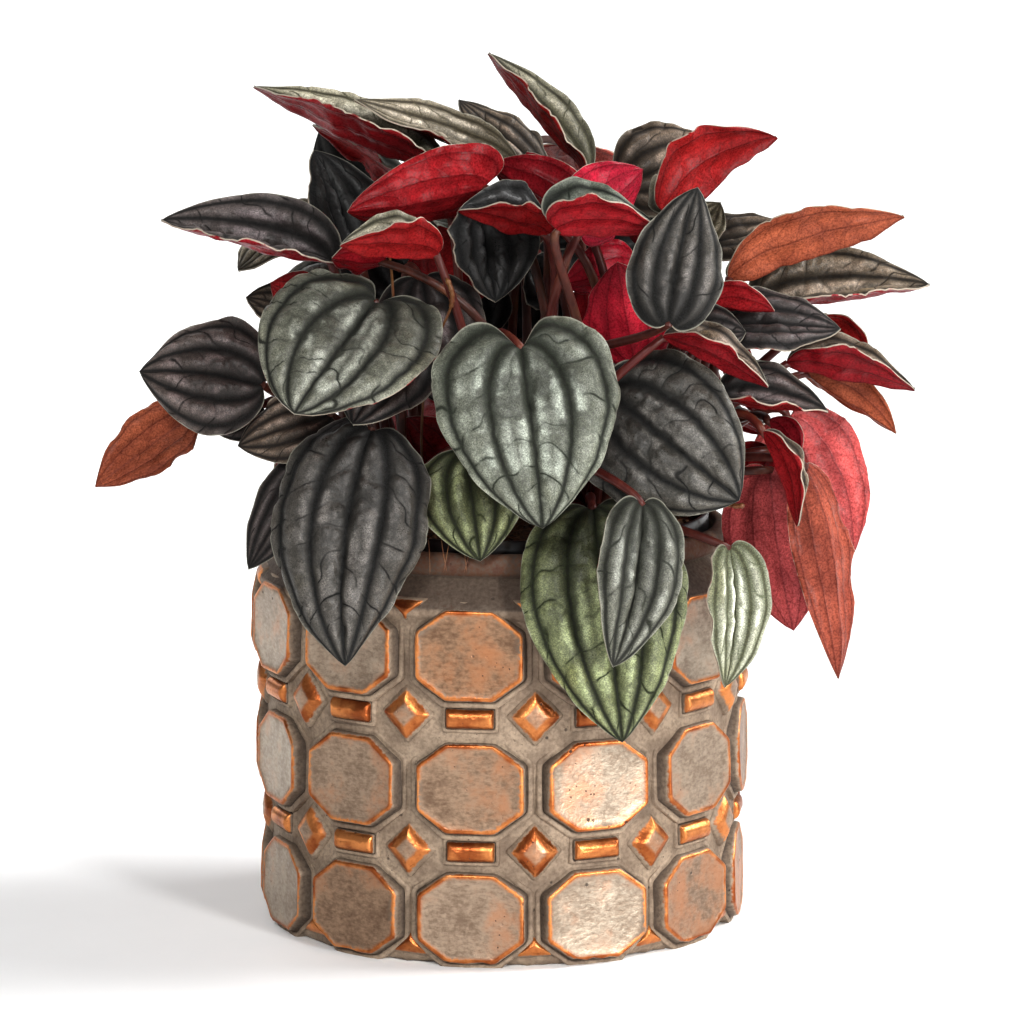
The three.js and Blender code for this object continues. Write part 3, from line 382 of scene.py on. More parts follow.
def addBlock(bm, outline, levels, height, angle, paintedLightLevel=0.5):
    paintedLight, rub, worn, grimeAndShade = (bm.verts.layers.float[label] for label in ("paintedLight", "rub", "worn", "grimeAndShade"))
    halfX = max(point.x for point in outline)
    halfY = max(point.y for point in outline)
    stand = (Matrix.Rotation(math.radians(angle), 4, "Z") @ Matrix.Translation((0, 0, height))
             @ Matrix.Rotation(math.pi / 2 - math.atan(pot["lean"]), 4, "X")
             @ Matrix.Translation((0, 0, pot["groundRadius"] - wallInset(height))))
    foot = [bm.verts.new((point.x, point.y, -pot["buried"])) for point in outline]
    face = bm.faces.new(foot)
    wide, tall = 1, 1
    made = list(foot)
    for insetX, insetY, rise, curve, copper, bare, dirtAndShade in levels:
        face = bmesh.ops.extrude_discrete_faces(bm, faces=[face])["faces"][0]
        nextWide, nextTall = (halfX - insetX) / halfX, (halfY - insetY) / halfY
        for vert in face.verts:
            x, y = vert.co.x / wide * nextWide, vert.co.y / tall * nextTall
            vert.co = (x, y, rise - curve * x * x / (2 * pot["groundRadius"]))
            vert[rub], vert[worn], vert[grimeAndShade], vert[paintedLight] = copper, bare, dirtAndShade, paintedLightLevel
            made.append(vert)
        wide, tall = nextWide, nextTall
    centre = bmesh.ops.poke(bm, faces=[face])["verts"]
    for vert in centre:
        vert[rub], vert[worn], vert[paintedLight] = levels[-1][4], levels[-1][5], paintedLightLevel
    made += centre
    bm.faces.new(list(reversed(foot)))
    bmesh.ops.transform(bm, matrix=stand, verts=made)


def centred(width, height, corner=None):
    x, y = width / 2, height / 2
    if corner is None:
        return [(-x, -y), (x, -y), (x, y), (-x, y)]
    flatX, flatY = x - corner[0], y - corner[1]
    return [(-flatX, -y), (flatX, -y), (x, -flatY), (x, flatY), (flatX, y), (-flatX, y), (-x, flatY), (-x, -flatY)]


def addRelief(bm):
    step = pot["step"]
    wide, tall = pot["octagon"]
    cornerX, cornerY = pot["octagonCorner"]
    octagon = softOutline(centred(wide + 2 * step, tall + 2 * step, (cornerX + step * 0.6, cornerY + step * 0.6)))
    barWide, barTall = pot["bar"]
    bar = softOutline(centred(barWide + 2.4, barTall + 2.4), 0.7)
    halfX, halfY = pot["diamond"][0] / 2 + 0.6, pot["diamond"][1] / 2 + 0.6
    diamond = softOutline([(0, -halfY), (halfX, 0), (0, halfY), (-halfX, 0)], 0.8)
    cutX, cutY = pot["halfDiamond"][0] / 2, pot["halfDiamond"][1] / 2
    tipDown = softOutline([(0, -cutY), (cutX, cutY), (-cutX, cutY)], 0.7)
    tipUp = softOutline([(-cutX, -cutY), (cutX, -cutY), (0, cutY)], 0.7)
    turn = 360 / pot["columns"]
    perColumn, perRow, offset = pot["paintedLightWave"]
    for column in range(pot["columns"]):
        angle = pot["firstAngle"] + turn * column
        for row, height in enumerate(pot["rowHeights"]):
            # Painted light: each octagon's bronze is made lighter or darker in a wave round the pot, standing in for
            # where the lamps catch it.
            paintedLightLevel = 0.5 + 0.5 * math.sin(perColumn * column + perRow * row - offset)
            addBlock(bm, octagon, octagonLevels, height, angle, paintedLightLevel)
        for height in pot["barHeights"]:
            addBlock(bm, bar, barLevels, height, angle)
        for height in pot["diamondHeights"]:
            addBlock(bm, diamond, diamondLevels, height, angle + turn / 2)
        addBlock(bm, tipDown, halfDiamondLevels, pot["shoulderTop"] - cutY, angle + turn / 2)
        addBlock(bm, tipUp, halfDiamondLevels, pot["footHeight"] + cutY, angle + turn / 2)


def addPotBody(bm):
    footRadius = pot["groundRadius"] - pot["lean"] * pot["shoulderBottom"]
    top, crease, creaseHeight = pot["rimTop"], pot["creaseRadius"], pot["creaseHeight"]
    rim, neck, inner, low = pot["rimRadius"], pot["neckRadius"], pot["innerRadius"], pot["floorHeight"]
    profile = finerProfile([
        (0, 0), (footRadius - 3, 0), (footRadius - 1, 0.5), (footRadius, 1.8), (footRadius + 0.1, 4),
        (pot["groundRadius"], pot["shoulderBottom"]), (pot["shoulderRadius"] - 0.5, pot["shoulderBottom"] + 0.7),
        (pot["shoulderRadius"], pot["shoulderBottom"] + 1.6), (pot["shoulderRadius"] - 0.2, pot["shoulderTop"] - 0.4),
        (pot["shoulderRadius"] - 1.2, pot["shoulderTop"] + 0.9), (crease + 0.5, creaseHeight - 0.4),
        (crease, creaseHeight), (crease + 0.3, creaseHeight + 0.5), (rim - 0.7, creaseHeight + 1.1),
        (rim - 0.1, creaseHeight + 2.2), (rim, creaseHeight + 3.5), (rim - 0.15, top - 2), (rim - 0.8, top - 0.8),
        (rim - 1.9, top - 0.1), (rim - 2.9, top), (neck + 0.9, top - 0.2), (neck + 0.2, top - 1.1), (neck, top - 2.6),
        (neck, creaseHeight - 2), (inner, pot["shoulderTop"]), (inner - 0.6, low + 2), (inner - 2.6, low), (0, low),
    ], pot["wallSpacing"])
    turnedShell(bm, profile, pot["turnSteps"])


def makeDecorativePot(material):
    bm = newMesh()
    for label in ("rub", "worn", "grimeAndShade", "paintedLight"):
        bm.verts.layers.float.new(label)
    rub, worn, grimeAndShade = (bm.verts.layers.float[label] for label in ("rub", "worn", "grimeAndShade"))
    addPotBody(bm)
    for vert in bm.verts:
        radius = math.hypot(vert.co.x, vert.co.y)
        if radius <= pot["neckRadius"] + 0.1 or vert.co.z <= 0.2:
            continue
        if vert.co.z > pot["creaseHeight"] + 0.8:
            wearAndShade = pot["rimWearAndShade"]
        elif vert.co.z > pot["creaseHeight"] - 1:
            wearAndShade = pot["creaseDirtAndShade"]
        elif vert.co.z > pot["shoulderTop"] - 1:
            wearAndShade = pot["shoulderWearAndShade"]
        else:
            wearAndShade = pot["wallWear"]
        vert[rub], vert[worn], vert[grimeAndShade] = wearAndShade
    addRelief(bm)
    bmesh.ops.triangulate(bm, faces=[face for face in bm.faces if len(face.verts) > 4])
    bm.normal_update()
    ragged = pot["raggedFoot"]
    for vert in bm.verts:
        push = sum(noise.noise(vert.co * pitch) * depth for pitch, depth in pot["roughness"])
        if vert.co.z < ragged["below"]:
            push -= max(0, noise.noise(vert.co * ragged["pitch"])) * ragged["depth"]
        vert.co += vert.normal * push
        vert.co.z = max(vert.co.z, 0)
    finishPiece("castPot", bm, [material], "decorative_pot", pot["sharpAngle"])


castTones = {
    "cement": (paint(118, 101, 85), paint(160, 142, 122)), "cementGrain": paint(88, 72, 58),
    # Each bronze pair runs from a shaded to a lit octagon, chosen by the painted light level: painted light.
    "bronzeDark": (paint(104, 76, 56), paint(136, 120, 104)),
    "bronzeLight": (paint(158, 124, 96), paint(174, 162, 146)),
    "orange": paint(180, 112, 66), "copper": (paint(208, 138, 82), paint(146, 80, 42)),
    # The dark of dirt and of painted shade, laid in the grooves, the crease and on the rim.
    "copperGrain": paint(110, 58, 34), "dirtAndShade": paint(44, 31, 24), "pit": paint(38, 26, 20),
}


def castMaterial():
    material, tree, shader = newMaterial("rubbedCopperCement", 0.6)
    rub, worn, grimeAndShade, paintedLight = (attribute(tree, name) for name in ("rub", "worn", "grimeAndShade", "paintedLight"))
    patches = clouds(tree, 95, 4, 0.62)
    grain = clouds(tree, 900, 3, 0.6)
    streaks = clouds(tree, (500, 500, 1100), 3, 0.6)
    wide = clouds(tree, 22, 2)

    cement = mixed(fade(patches, 0.3, 0.7), *castTones["cement"])
    cement = mixed(fade(grain, 0.35, 0.75, 0, 0.5), cement, castTones["cementGrain"])
    tarnish = calc("MULTIPLY_ADD", patches, 0.45, plus(times(grain, 0.2), times(streaks, 0.35)))
    # The bronze takes each block's painted light level: painted light, lit and shaded copies of the same bronze.
    bronze = mixed(fade(tarnish, 0.36, 0.62), mixed(paintedLight, *castTones["bronzeDark"]),
                   mixed(paintedLight, *castTones["bronzeLight"]))
    orange = fade(plus(times(patches, 0.7), times(wide, 0.5)), 0.59, 0.8)
    bronze = mixed(times(orange, 0.5), bronze, castTones["orange"])
    copper = mixed(fade(patches, 0.36, 0.66), *castTones["copper"])
    copper = mixed(fade(grain, 0.55, 0.8, 0, 0.6), copper, castTones["copperGrain"])

    ragged = plus(times(minus(patches, 0.5), 0.75),
                  times(minus(grain, 0.5), 0.5))
    copperMask = fade(calc("MULTIPLY_ADD", rub, 0.82, ragged), 0.42, 0.66)
    wornMask = fade(plus(worn, times(ragged, 0.6)), 0.3, 0.7)
    # Darkened where the grime value is high: dirt with painted shade in the grooves and the crease, and on the rim and
    # shoulder under the leaves.
    dirtAndShadeMask = fade(plus(grimeAndShade, times(ragged, 0.5)), 0.25, 1.2, 0, 0.84)

    colour = mixed(copperMask, cement, copper)
    colour = mixed(wornMask, colour, bronze)
    colour = mixed(dirtAndShadeMask, colour, castTones["dirtAndShade"])
    # Small holes painted near-black: painted shade inside the pits, with their dent in the bump.
    holes = times(fade(cells(tree, 190), 0.05, 0.12, 1, 0), fade(wide, 0.54, 0.6))
    smallHoles = times(fade(cells(tree, 520), 0.08, 0.16, 1, 0), fade(patches, 0.56, 0.66))
    pits = calc("MAXIMUM", holes, smallHoles)
    colour = mixed(times(pits, 0.85), colour, castTones["pit"])
    feed(shader.inputs["Base Color"], colour)

    shine = calc("MAXIMUM", times(copperMask, 0.92), times(wornMask, 0.85))
    shine = calc("MAXIMUM", shine, 0.18)
    shine = times(shine, minus(1, calc("MAXIMUM", dirtAndShadeMask, pits)))
    feed(shader.inputs["Metallic"], shine)
    matt = plus(times(shine, -0.45), 0.78)
    matt = plus(matt, times(minus(grain, 0.5), 0.35))
    feed(shader.inputs["Roughness"], matt)
    height = plus(times(grain, 0.5), times(streaks, 0.25))
    height = minus(height, times(pits, 1.6))
    bump(shader, height, 0.55, 0.0004)
    return material


makeDecorativePot(castMaterial())


# Nursery pot

nursery = {
    "rim": 60, "innerRim": 58.6, "top": 120, "lip": 110, "foot": 43, "waist": 57.2, "wall": 1.3,
    "footHeight": 10.3, "drains": 6, "drainRadius": 4, "drainRing": 30, "turnSteps": 96,
    "tone": paint(24, 24, 25), "dustTone": paint(74, 62, 52),
}


def makeNurseryPot():
    material, tree, shader = newMaterial("blackPlastic", 0.34, specular=0.45)
    dust = fade(clouds(tree, 160, 4, 0.65), 0.5, 0.72, 0, 0.5)
    colour = mixed(dust, nursery["tone"], nursery["dustTone"])
    feed(shader.inputs["Base Color"], colour)
    feed(shader.inputs["Roughness"], fade(dust, 0, 0.5, 0.3, 0.7))
    bump(shader, clouds(tree, 700, 2), 0.2, 0.0002)
    bm = newMesh()
    rim, inner, top, lip = nursery["rim"], nursery["innerRim"], nursery["top"], nursery["lip"]
    foot, waist, wall, low = nursery["foot"], nursery["waist"], nursery["wall"], nursery["footHeight"]
    turnedShell(bm, [
        (0, low), (foot - 0.6, low), (foot, low + 0.3), (foot + 1, low + 1.5), (waist, lip - 1),
        (rim - 0.4, lip - 0.4), (rim, lip + 0.1), (rim, top - 0.7), (rim - 0.15, top - 0.2), (rim - 0.5, top),
        (inner + 0.5, top), (inner + 0.15, top - 0.2), (inner, top - 0.7), (inner, lip + 1),
        (waist - wall, lip - 1), (foot + 0.2, low + wall + 1), (foot - 0.8, low + wall), (0, low + wall),
    ], nursery["turnSteps"])
    for index in range(nursery["drains"]):
        angle = math.tau * index / nursery["drains"]
        spot = Vector((math.cos(angle), math.sin(angle), 0)) * nursery["drainRing"]
        turn = Matrix.Translation(spot + Vector((0, 0, low + wall / 2)))
        bmesh.ops.create_cone(bm, cap_ends=True, segments=20, radius1=nursery["drainRadius"],
                              radius2=nursery["drainRadius"], depth=wall + 0.02, matrix=turn)
    finishPiece("plasticPot", bm, [material], "nursery_pot")


makeNurseryPot()


# Soil

soil = {
    "rim": 57.6, "low": 11.9, "foot": 41.6, "waist": 55.2, "lip": 108, "top": 115.6, "crown": 116.6,
    "turnSteps": 120, "crumbs": 420, "crumbSize": (0.5, 1.5), "fibres": 170, "fibreLength": (3, 8), "seed": 11,
    "lumps": ((0.22, 1.1), (0.7, 0.7)), "sharpAngle": 60,
    "tones": (paint(38, 25, 18), paint(112, 76, 48)), "fleckTone": paint(150, 116, 78),
}


def makeSoil():
    material, tree, shader = newMaterial("peatCompost", 0.92, specular=0.25)
    mottled = clouds(tree, 420, 5, 0.7)
    colour = mixed(fade(mottled, 0.35, 0.7), *soil["tones"])
    colour = mixed(fade(cells(tree, 900), 0.05, 0.3, 0.5, 0), colour, soil["fleckTone"])
    feed(shader.inputs["Base Color"], colour)
    bump(shader, mottled, 0.8, 0.001)
    rng = random.Random(soil["seed"])
    bm = newMesh()
    turnedShell(bm, finerProfile([
        (0, soil["low"]), (soil["foot"], soil["low"]), (soil["waist"], soil["lip"]), (soil["rim"], soil["lip"] + 3),
        (soil["rim"], soil["top"] - 0.5), (soil["rim"] - 0.8, soil["top"]), (30, soil["crown"]), (0, soil["crown"]),
    ], 2.4), soil["turnSteps"])
    bm.normal_update()
    for vert in bm.verts:
        if vert.co.z > soil["lip"] + 4:
            lump = sum(noise.noise(vert.co * pitch) * depth for pitch, depth in soil["lumps"])
            vert.co.z += min(lump - 0.4, 0.5)
    for crumb in range(soil["crumbs"]):
        radius = soil["rim"] * math.sqrt(rng.random()) * 0.98
        angle = rng.random() * math.tau
        size = rng.uniform(*soil["crumbSize"])
        height = soil["top"] + rng.uniform(-0.2, 0.5)
        spot = Matrix.Translation((radius * math.cos(angle), radius * math.sin(angle), height))
        turn = Matrix.Rotation(rng.random() * math.tau, 4, (rng.random(), rng.random(), 1))
        shape = Matrix.Diagonal((size, size * rng.uniform(0.5, 1), size * rng.uniform(0.4, 0.8), 1))
        bmesh.ops.create_icosphere(bm, subdivisions=1, radius=1, matrix=spot @ turn @ shape)
    for fibre in range(soil["fibres"]):
        radius = soil["rim"] * math.sqrt(rng.random()) * 0.95
        angle = rng.random() * math.tau
        centre = Vector((radius * math.cos(angle), radius * math.sin(angle), soil["top"] + rng.uniform(0.4, 1)))
        lay = rng.random() * math.tau
        length = rng.uniform(*soil["fibreLength"])
        points = []
        for step in range(5):
            share = step / 4 - 0.5
            bend = math.sin(share * 4 + lay) * 0.8
            points.append(centre + Vector((math.cos(lay) * length * share - math.sin(lay) * bend,
                                           math.sin(lay) * length * share + math.cos(lay) * bend,
                                           0.4 * math.cos(share * 5))))
        limit = soil["rim"] / max(soil["rim"], max(point.xy.length for point in points))
        points = [Vector((point.x * limit, point.y * limit, point.z)) for point in points]
        addTube(bm, points, roundedEnds(5, 0.22, 0.16), 4, 0, lambda vert: None)
    finishPiece("compost", bm, [material], "soil", soil["sharpAngle"])


makeSoil()


# Plant

plant = {
    "crownStem": {"radius": 4, "foot": 103, "top": 127},
    "stalkStart": 124, "stalkSpread": 2.5, "stalkRadius": (1.6, 1.15), "stalkSpacing": 3,
    "bladeThickness": 0.75, "bladeSpacing": 1.05,
    "veinSpacing": 0.42, "rungLength": 9, "rungSlant": 1.6, "rungWander": 0.9,
    "quilt": 1.5, "rungDepth": 0.75, "crumple": 0.75, "edgeWave": 0.8, "underRelief": 0.4, "thinnest": 0.4,
    "veinDip": 1.7, "edgeDip": 1.8, "rungDip": 1.2, "crumpleWaves": ((0.09, 1.6), (0.25, 0.6)),
    "upperLight": (0.88, 1.12), "lowerLight": (0.85, 1.12), "seed": 4, "sharpAngle": 75,
}

crownPlaces = {
    "frontLeft": (-25, -31), "frontRight": (25, -33), "left": (-45, -3), "right": (45, -5),
    "middle": (0, -9), "backLeft": (-27, 26), "backRight": (27, 26), "back": (0, 46),
}

# Outlines: half width grows as a power of the way from the stalk, shrinks as a power of the way to the tip,
# and the two lobes reach back past the stalk by a share of the length.
bladeForms = {
    "heart": (0.5, 0.78, 0.27), "kidney": (0.6, 0.7, 0.28), "round": (0.6, 0.76, 0.15),
    "ovate": (0.55, 0.85, 0.09), "lance": (0.62, 0.92, 0.03),
}

# How a stalk comes up to its blade: shares of its reach, back along the blade and behind it.
stalkForms = {
    "over": (0.15, 0.25), "under": (0.3, 0.1), "arch": (0.05, 0.4), "loop": (0.3, 0.35), "straight": (0.12, 0.06),
}

# The "dark" tone is painted shade: near-black tops for the leaves deep inside the plant, standing in for the shade
# among them.
upperTones = {
    "silver": paint(106, 107, 97), "slate": paint(72, 68, 63), "plum": paint(82, 73, 70),
    "sage": paint(146, 138, 122), "green": paint(110, 114, 82), "taupe": paint(116, 100, 86), "dark": paint(32, 31, 30),
    "pale": paint(182, 179, 164),
}
lowerTones = {
    "red": paint(150, 28, 34), "rose": paint(198, 98, 86), "magenta": paint(186, 34, 56), "brick": paint(172, 86, 68),
}
stalkTones = {
    "range": (paint(60, 34, 25), paint(78, 24, 22)), "stem": paint(108, 68, 50),
    "fleck": paint(92, 44, 34), "patch": paint(150, 100, 62),
}
marginTones = {"upper": paint(148, 146, 132), "lower": paint(168, 166, 150)}

# Dried flower spikes: where each leaves its crown, two handles and its end. Hair roots: where each crosses the rim.
driedSpikes = {
    "frontLeft": (
        ((-26, -33, 124), (-33, -42, 176), (-27, -56, 213), (-37, -57, 204)),
        ((-22, -33, 124), (-27, -52, 184), (-8, -63, 181), (-15.5, -63, 194)),
    ),
    "frontRight": (((27, -35, 124), (34, -50, 156), (58.3, -72, 128), (66.7, -74, 132.5)),),
}
hairRoots = {"frontLeft": (-20.5, -17, -14.5, -11, -8.2)}
thinParts = {
    "spikeSteps": 60, "spikeRadius": 0.4, "knobStart": 44, "knobRadius": 0.62, "spikeTone": paint(104, 70, 40),
    "rootSteps": 16, "rootRadius": (0.16, 0.1), "rootTone": paint(120, 84, 54),
}

# One row a leaf, by crown. The last value, the lower tone, is left out where it is red. Angles in degrees: fold
# lifts the halves, cup curls them, bend arches the midrib, sweep curves it.
leafFields = (
    "name", "base", "tip", "facing", "form", "width", "fold", "cup", "bend", "sweep", "stalk", "rise", "sway",
    "upper", "lower",
)
shownLeaves = {
    "frontLeft": (
        ("disc", (-35, -56, 186), (-56, -92, 160), (-0.1, -0.75, 0.4), "kidney",
         50, 15, -22, 14, 0, "over", 0.15, -0.1, "silver"),
        ("longDark", (-36, -66, 152), (-43, -82, 89), (-0.1, -1, 0.2), "ovate",
         46, 18, -60, 25, -12, "over", 0.25, -0.25, "slate"),
        ("tongue", (38, -82, 134), (30, -94, 91), (0.4, -0.85, 0.15), "ovate",
         27, 30, -40, 15, 8, "straight", 0.5, -0.1, "silver"),
        ("greenBack", (-10, -58, 145), (-6, -70, 116), (-0.1, -1, 0.25), "ovate",
         32, 8, -20, 15, 0, "over", 0.25, -0.25, "green"),
        ("behindDisc", (-23, -30, 190), (-16, -39, 155), (0.2, -0.95, 0.1), "ovate",
         32, 12, -20, 15, 0, "under", 0.4, 0.25, "plum"),
        ("underDisc", (-27, -54, 174), (-41, -70, 154), (-0.2, -0.8, 0.5), "ovate",
         30, 12, -25, 15, 0, "straight", 0.15, -0.1, "plum"),
        ("leftBoat", (-48, -42, 196), (-96, -32, 207), (-0.05, -0.5, 0.87), "ovate",
         33, 42, 5, -15, 0, "over", 0.25, -0.1, "plum"),
        ("leftMid", (-67, -46, 162), (-102, -40, 165), (-0.1, -0.85, 0.5), "ovate",
         36, 12, -25, 15, -5, "over", 0.25, -0.25, "plum"),
        ("leftLow", (-48, -50, 154), (-74, -48, 145), (-0.2, -0.8, 0.5), "ovate",
         23, 12, -25, 15, 0, "over", 0.25, -0.25, "taupe"),
        ("leftHang", (-53, -50, 141), (-71, -54, 111), (-0.3, -0.95, 0.1), "ovate",
         18, 20, -20, 10, 0, "over", 0.25, -0.25, "plum"),
        ("darkUp", (-40, -22, 194), (-54, -10, 225), (0.6, -0.8, 0.1), "ovate",
         30, 30, -10, -10, -5, "over", 0.25, -0.25, "dark"),
        ("leftPeekRed", (-54, -36, 184), (-65, -38, 190), (0, 0.9, 0.4), "lance",
         15, 20, 0, 0, 0, "arch", 0.25, -0.25, "dark"),
        ("topLeft", (-18, -22, 220), (-71, -8, 243), (0.1, -0.1, 1), "lance",
         34, 37, 5, -18, 0, "over", 0.25, -0.1, "sage"),
        ("redCup", (-18, -62, 200), (-44, -72, 204), (0, -0.05, 1), "ovate",
         30, 50, 5, -30, 0, "arch", 0.25, 0.25, "sage"),
        ("innerLow", (-14, -34, 136), (-27, -39, 152), (0.1, 0.9, 0.3), "ovate",
         21, 15, 0, -10, 0, "under", 0.5, 0, "dark"),
    ),
    "frontRight": (
        ("heart", (5, -82, 177), (11, -93, 129), (0.1, -1, 0.3), "heart",
         52, 13, -38, 28, 0, "loop", 0.15, -0.25, "silver"),
        ("shield", (29, -60, 162), (65, -76, 134), (0, -0.9, 0.1), "round",
         46, 12, -38, 31, 0, "over", 0.15, -0.25, "slate"),
        ("greenBig", (25, -66, 130), (33, -84, 68), (0.05, -1, 0.2), "ovate",
         47, 15, -40, 30, 0, "over", 0.25, 0, "green"),
        ("pale", (63, -60, 118), (62, -62, 79), (0.5, -0.85, 0), "ovate",
         22, 30, -15, 15, 9, "over", 0.15, -0.4, "pale"),
        ("redMid", (22, -31, 208), (-4, -22, 222), (0.1, 0.8, 0.6), "ovate",
         24, 20, 20, -15, 0, "loop", 0.4, -0.25, "dark"),
        ("redBowl", (12, -46, 204), (-12, -56, 212), (0, -0.25, 0.95), "ovate",
         32, 46, 5, -28, 0, "under", 0.25, -0.25, "dark"),
        ("redSilver", (15, -76, 208), (43, -72, 208), (0.1, -0.15, 1), "heart",
         34, 50, 5, -22, 0, "straight", 0.5, 0.1, "silver"),
        ("pinkTop", (22, -50, 206), (39, -40, 222), (-0.3, 0.85, 0.45), "ovate",
         28, 15, 10, -20, 0, "over", 0.25, -0.25, "sage", "magenta"),
        ("pinkLow", (37, -42, 168), (32, -50, 197), (0.1, 0.95, 0.1), "ovate",
         27, 15, 15, -15, 0, "loop", 0.25, -0.25, "dark", "magenta"),
        ("pinkBack", (37, -27, 194), (17, -33, 189), (0.1, 0.85, 0.45), "ovate",
         19, 20, 10, -15, 0, "under", 0.25, 0, "dark", "magenta"),
        ("rightBehind", (60, -38, 178), (95, -40, 177), (0, -0.6, 0.8), "ovate",
         26, 15, -10, 10, 0, "over", 0.25, -0.25, "plum"),
        ("rightTip", (52, -50, 177), (68, -48, 177), (0, -0.8, 0.6), "ovate",
         18, 20, -5, 10, 0, "arch", 0.25, -0.25, "plum"),
        ("redTip", (59, -44, 184), (76, -46, 183), (0, 0.6, 0.8), "ovate",
         18, 30, 10, -10, 0, "straight", 0.25, 0.25, "dark"),
        ("redDart", (44, -69, 178), (73, -72, 165), (0.35, -0.15, 0.9), "lance",
         25, 42, 5, -10, 0, "arch", 0.15, -0.4, "taupe"),
        ("rightLow", (61, -50, 159), (91, -50, 155), (0, -0.4, 0.9), "ovate",
         28, 36, 5, -18, 0, "under", 0.25, 0.1, "plum"),
        ("hangSmall", (72, -62, 151), (82, -64, 125), (0.9, -0.1, 0.3), "lance",
         22, 40, 5, 0, 0, "under", 0.25, 0.25, "taupe"),
    ),
    "left": (
        ("leftSmall", (-68, -36, 155), (-81, -36, 147), (0.1, -0.9, 0.3), "lance",
         16, 20, 0, 10, 0, "loop", 0.5, -0.1, "plum"),
        ("rustLeft", (-89, -22, 150), (-117, -18, 129), (0.3, 0.9, 0.3), "lance",
         22, 33, 8, 10, 0, "over", 0.15, -0.4, "taupe", "brick"),
        ("leftPeekGrey", (-57, -26, 181), (-73, -22, 184), (0, -0.7, 0.7), "lance",
         16, 20, 0, 0, 0, "under", 0.25, 0, "taupe"),
        ("fill5", (-59, -6, 168), (-93, -6, 154), (-0.6, -0.1, 0.8), "ovate",
         31, 14, -10, 15, 6, "straight", 0.5, 0.25, "slate", "magenta"),
        ("gapTop", (-37, 26, 211), (-54, 27, 228), (-0.1, -1, 0), "ovate",
         29, 14, -30, 28, 0, "over", 0.15, -0.1, "dark"),
        ("gapLeft", (-36, -6, 205), (-24, -2, 179), (-0.2, -1, 0), "ovate",
         32, 14, -20, 20, 0, "under", 0.15, -0.1, "dark", "magenta"),
    ),
    "right": (
        ("topSpear", (24, -8, 218), (-4, 2, 252), (0.8, -0.4, 0.35), "lance",
         24, 45, 5, -10, 6, "loop", 0.25, -0.1, "sage"),
        ("topTan", (35, 8, 214), (65, 18, 225), (-0.1, -0.85, 0.5), "ovate",
         32, 12, -15, 15, -8, "loop", 0.25, 0.25, "taupe"),
        ("topRed", (46, -26, 208), (78, -14, 229), (-0.1, 0.4, 1), "ovate",
         40, 52, -10, -15, 0, "over", 0.15, 0.25, "sage"),
        ("peek", (54, -4, 199), (63, 2, 209), (0, -0.8, 0.5), "lance", 14, 15, 0, 0, 0, "loop", 0.25, -0.25, "sage"),
        ("innerRight", (30, -14, 169), (26, -12, 191), (-0.1, 0.9, 0.3), "ovate",
         22, 15, 0, -10, 0, "straight", 0.5, -0.1, "dark"),
        ("rightRed", (64, -28, 190), (114, -20, 207), (-0.1, 0.3, 1), "lance",
         36, 48, -5, -22, 0, "arch", 0.15, -0.25, "sage", "brick"),
        ("rightCrest", (60, 0, 197), (86, 4, 201), (0, -0.5, 0.85), "ovate",
         22, 12, -10, 10, 0, "over", 0.5, -0.25, "taupe"),
        ("rightDark", (73, -14, 181), (123, -6, 186), (-0.05, -0.5, 0.87), "ovate",
         35, 42, 0, -18, 0, "over", 0.5, 0.1, "taupe"),
        ("bird", (80, -38, 167), (116, -40, 160), (0.3, -0.1, 1), "lance",
         28, 50, 5, -15, 0, "loop", 0.5, -0.1, "taupe"),
        ("birdBack", (86, -28, 163), (112, -28, 146), (0.5, 0.6, 0.6), "lance",
         20, 30, 5, 0, 0, "loop", 0.25, -0.1, "taupe", "brick"),
        ("backHang", (91, -4, 176), (106, -2, 159), (0.7, 0.2, 0.7), "lance",
         20, 38, 5, 0, 0, "arch", 0.25, 0.1, "sage"),
        ("hangRed", (82, -14, 148), (101, -14, 108), (-0.2, 0.95, 0.1), "ovate",
         34, 10, 10, -20, 0, "loop", 0.25, 0.25, "sage", "rose"),
        ("hangRose", (76, -32, 136), (83, -34, 90), (0.15, 0.95, 0.1), "ovate",
         33, 15, 10, -20, 4, "arch", 0.25, -0.25, "sage", "rose"),
        ("hangRust", (85, -46, 139), (95, -44, 78), (-0.5, 0.85, 0.1), "lance",
         22, 30, 5, -15, -12, "straight", 0.25, -0.25, "sage", "brick"),
        ("hangShade", (77, -24, 140), (68, -24, 125), (0, 0.95, 0.1), "ovate",
         20, 15, 0, 0, 0, "over", 0.25, -0.25, "taupe"),
        ("hangDark", (75, -32, 150), (83, -34, 137), (0.8, 0.4, 0.1), "lance",
         16, 40, 5, 0, 0, "straight", 0.5, 0.25, "taupe"),
        ("fill10", (28, -21, 209), (55, -26, 179), (0.8, 0.2, 0.6), "ovate",
         35, 20, -10, 20, 6, "arch", 0.15, 0, "slate"),
        ("fill15", (20, 54, 221), (28, 83, 187), (0.2, 0.6, 0.8), "ovate",
         34, 14, -10, 28, 0, "under", 0.5, 0.25, "plum", "rose"),
        ("gapRight", (44, 11, 199), (10, 2, 196), (0.1, -1, -0.1), "ovate",
         20, 10, -10, 28, 0, "arch", 0.15, 0.4, "dark"),
    ),
    "middle": (
        ("upright", (45, -87, 184), (53, -77, 220), (0.15, -1, 0.2), "ovate",
         27, 20, -45, -15, 6, "arch", 0.5, -0.1, "slate"),
        ("topSage", (4, -8, 221), (-42, -19, 240), (0.2, -0.4, 0.9), "lance",
         25, 25, 5, -10, 6, "over", 0.15, 0, "sage"),
        ("bud", (11, -13, 216), (7, -15, 225), (0.3, 0.9, 0.2), "lance",
         10, 20, 0, 0, 0, "under", 0.15, -0.1, "dark", "magenta"),
        ("redLeft", (-5, -33, 216), (-43, -50, 211), (-0.1, 0.85, 0.5), "heart",
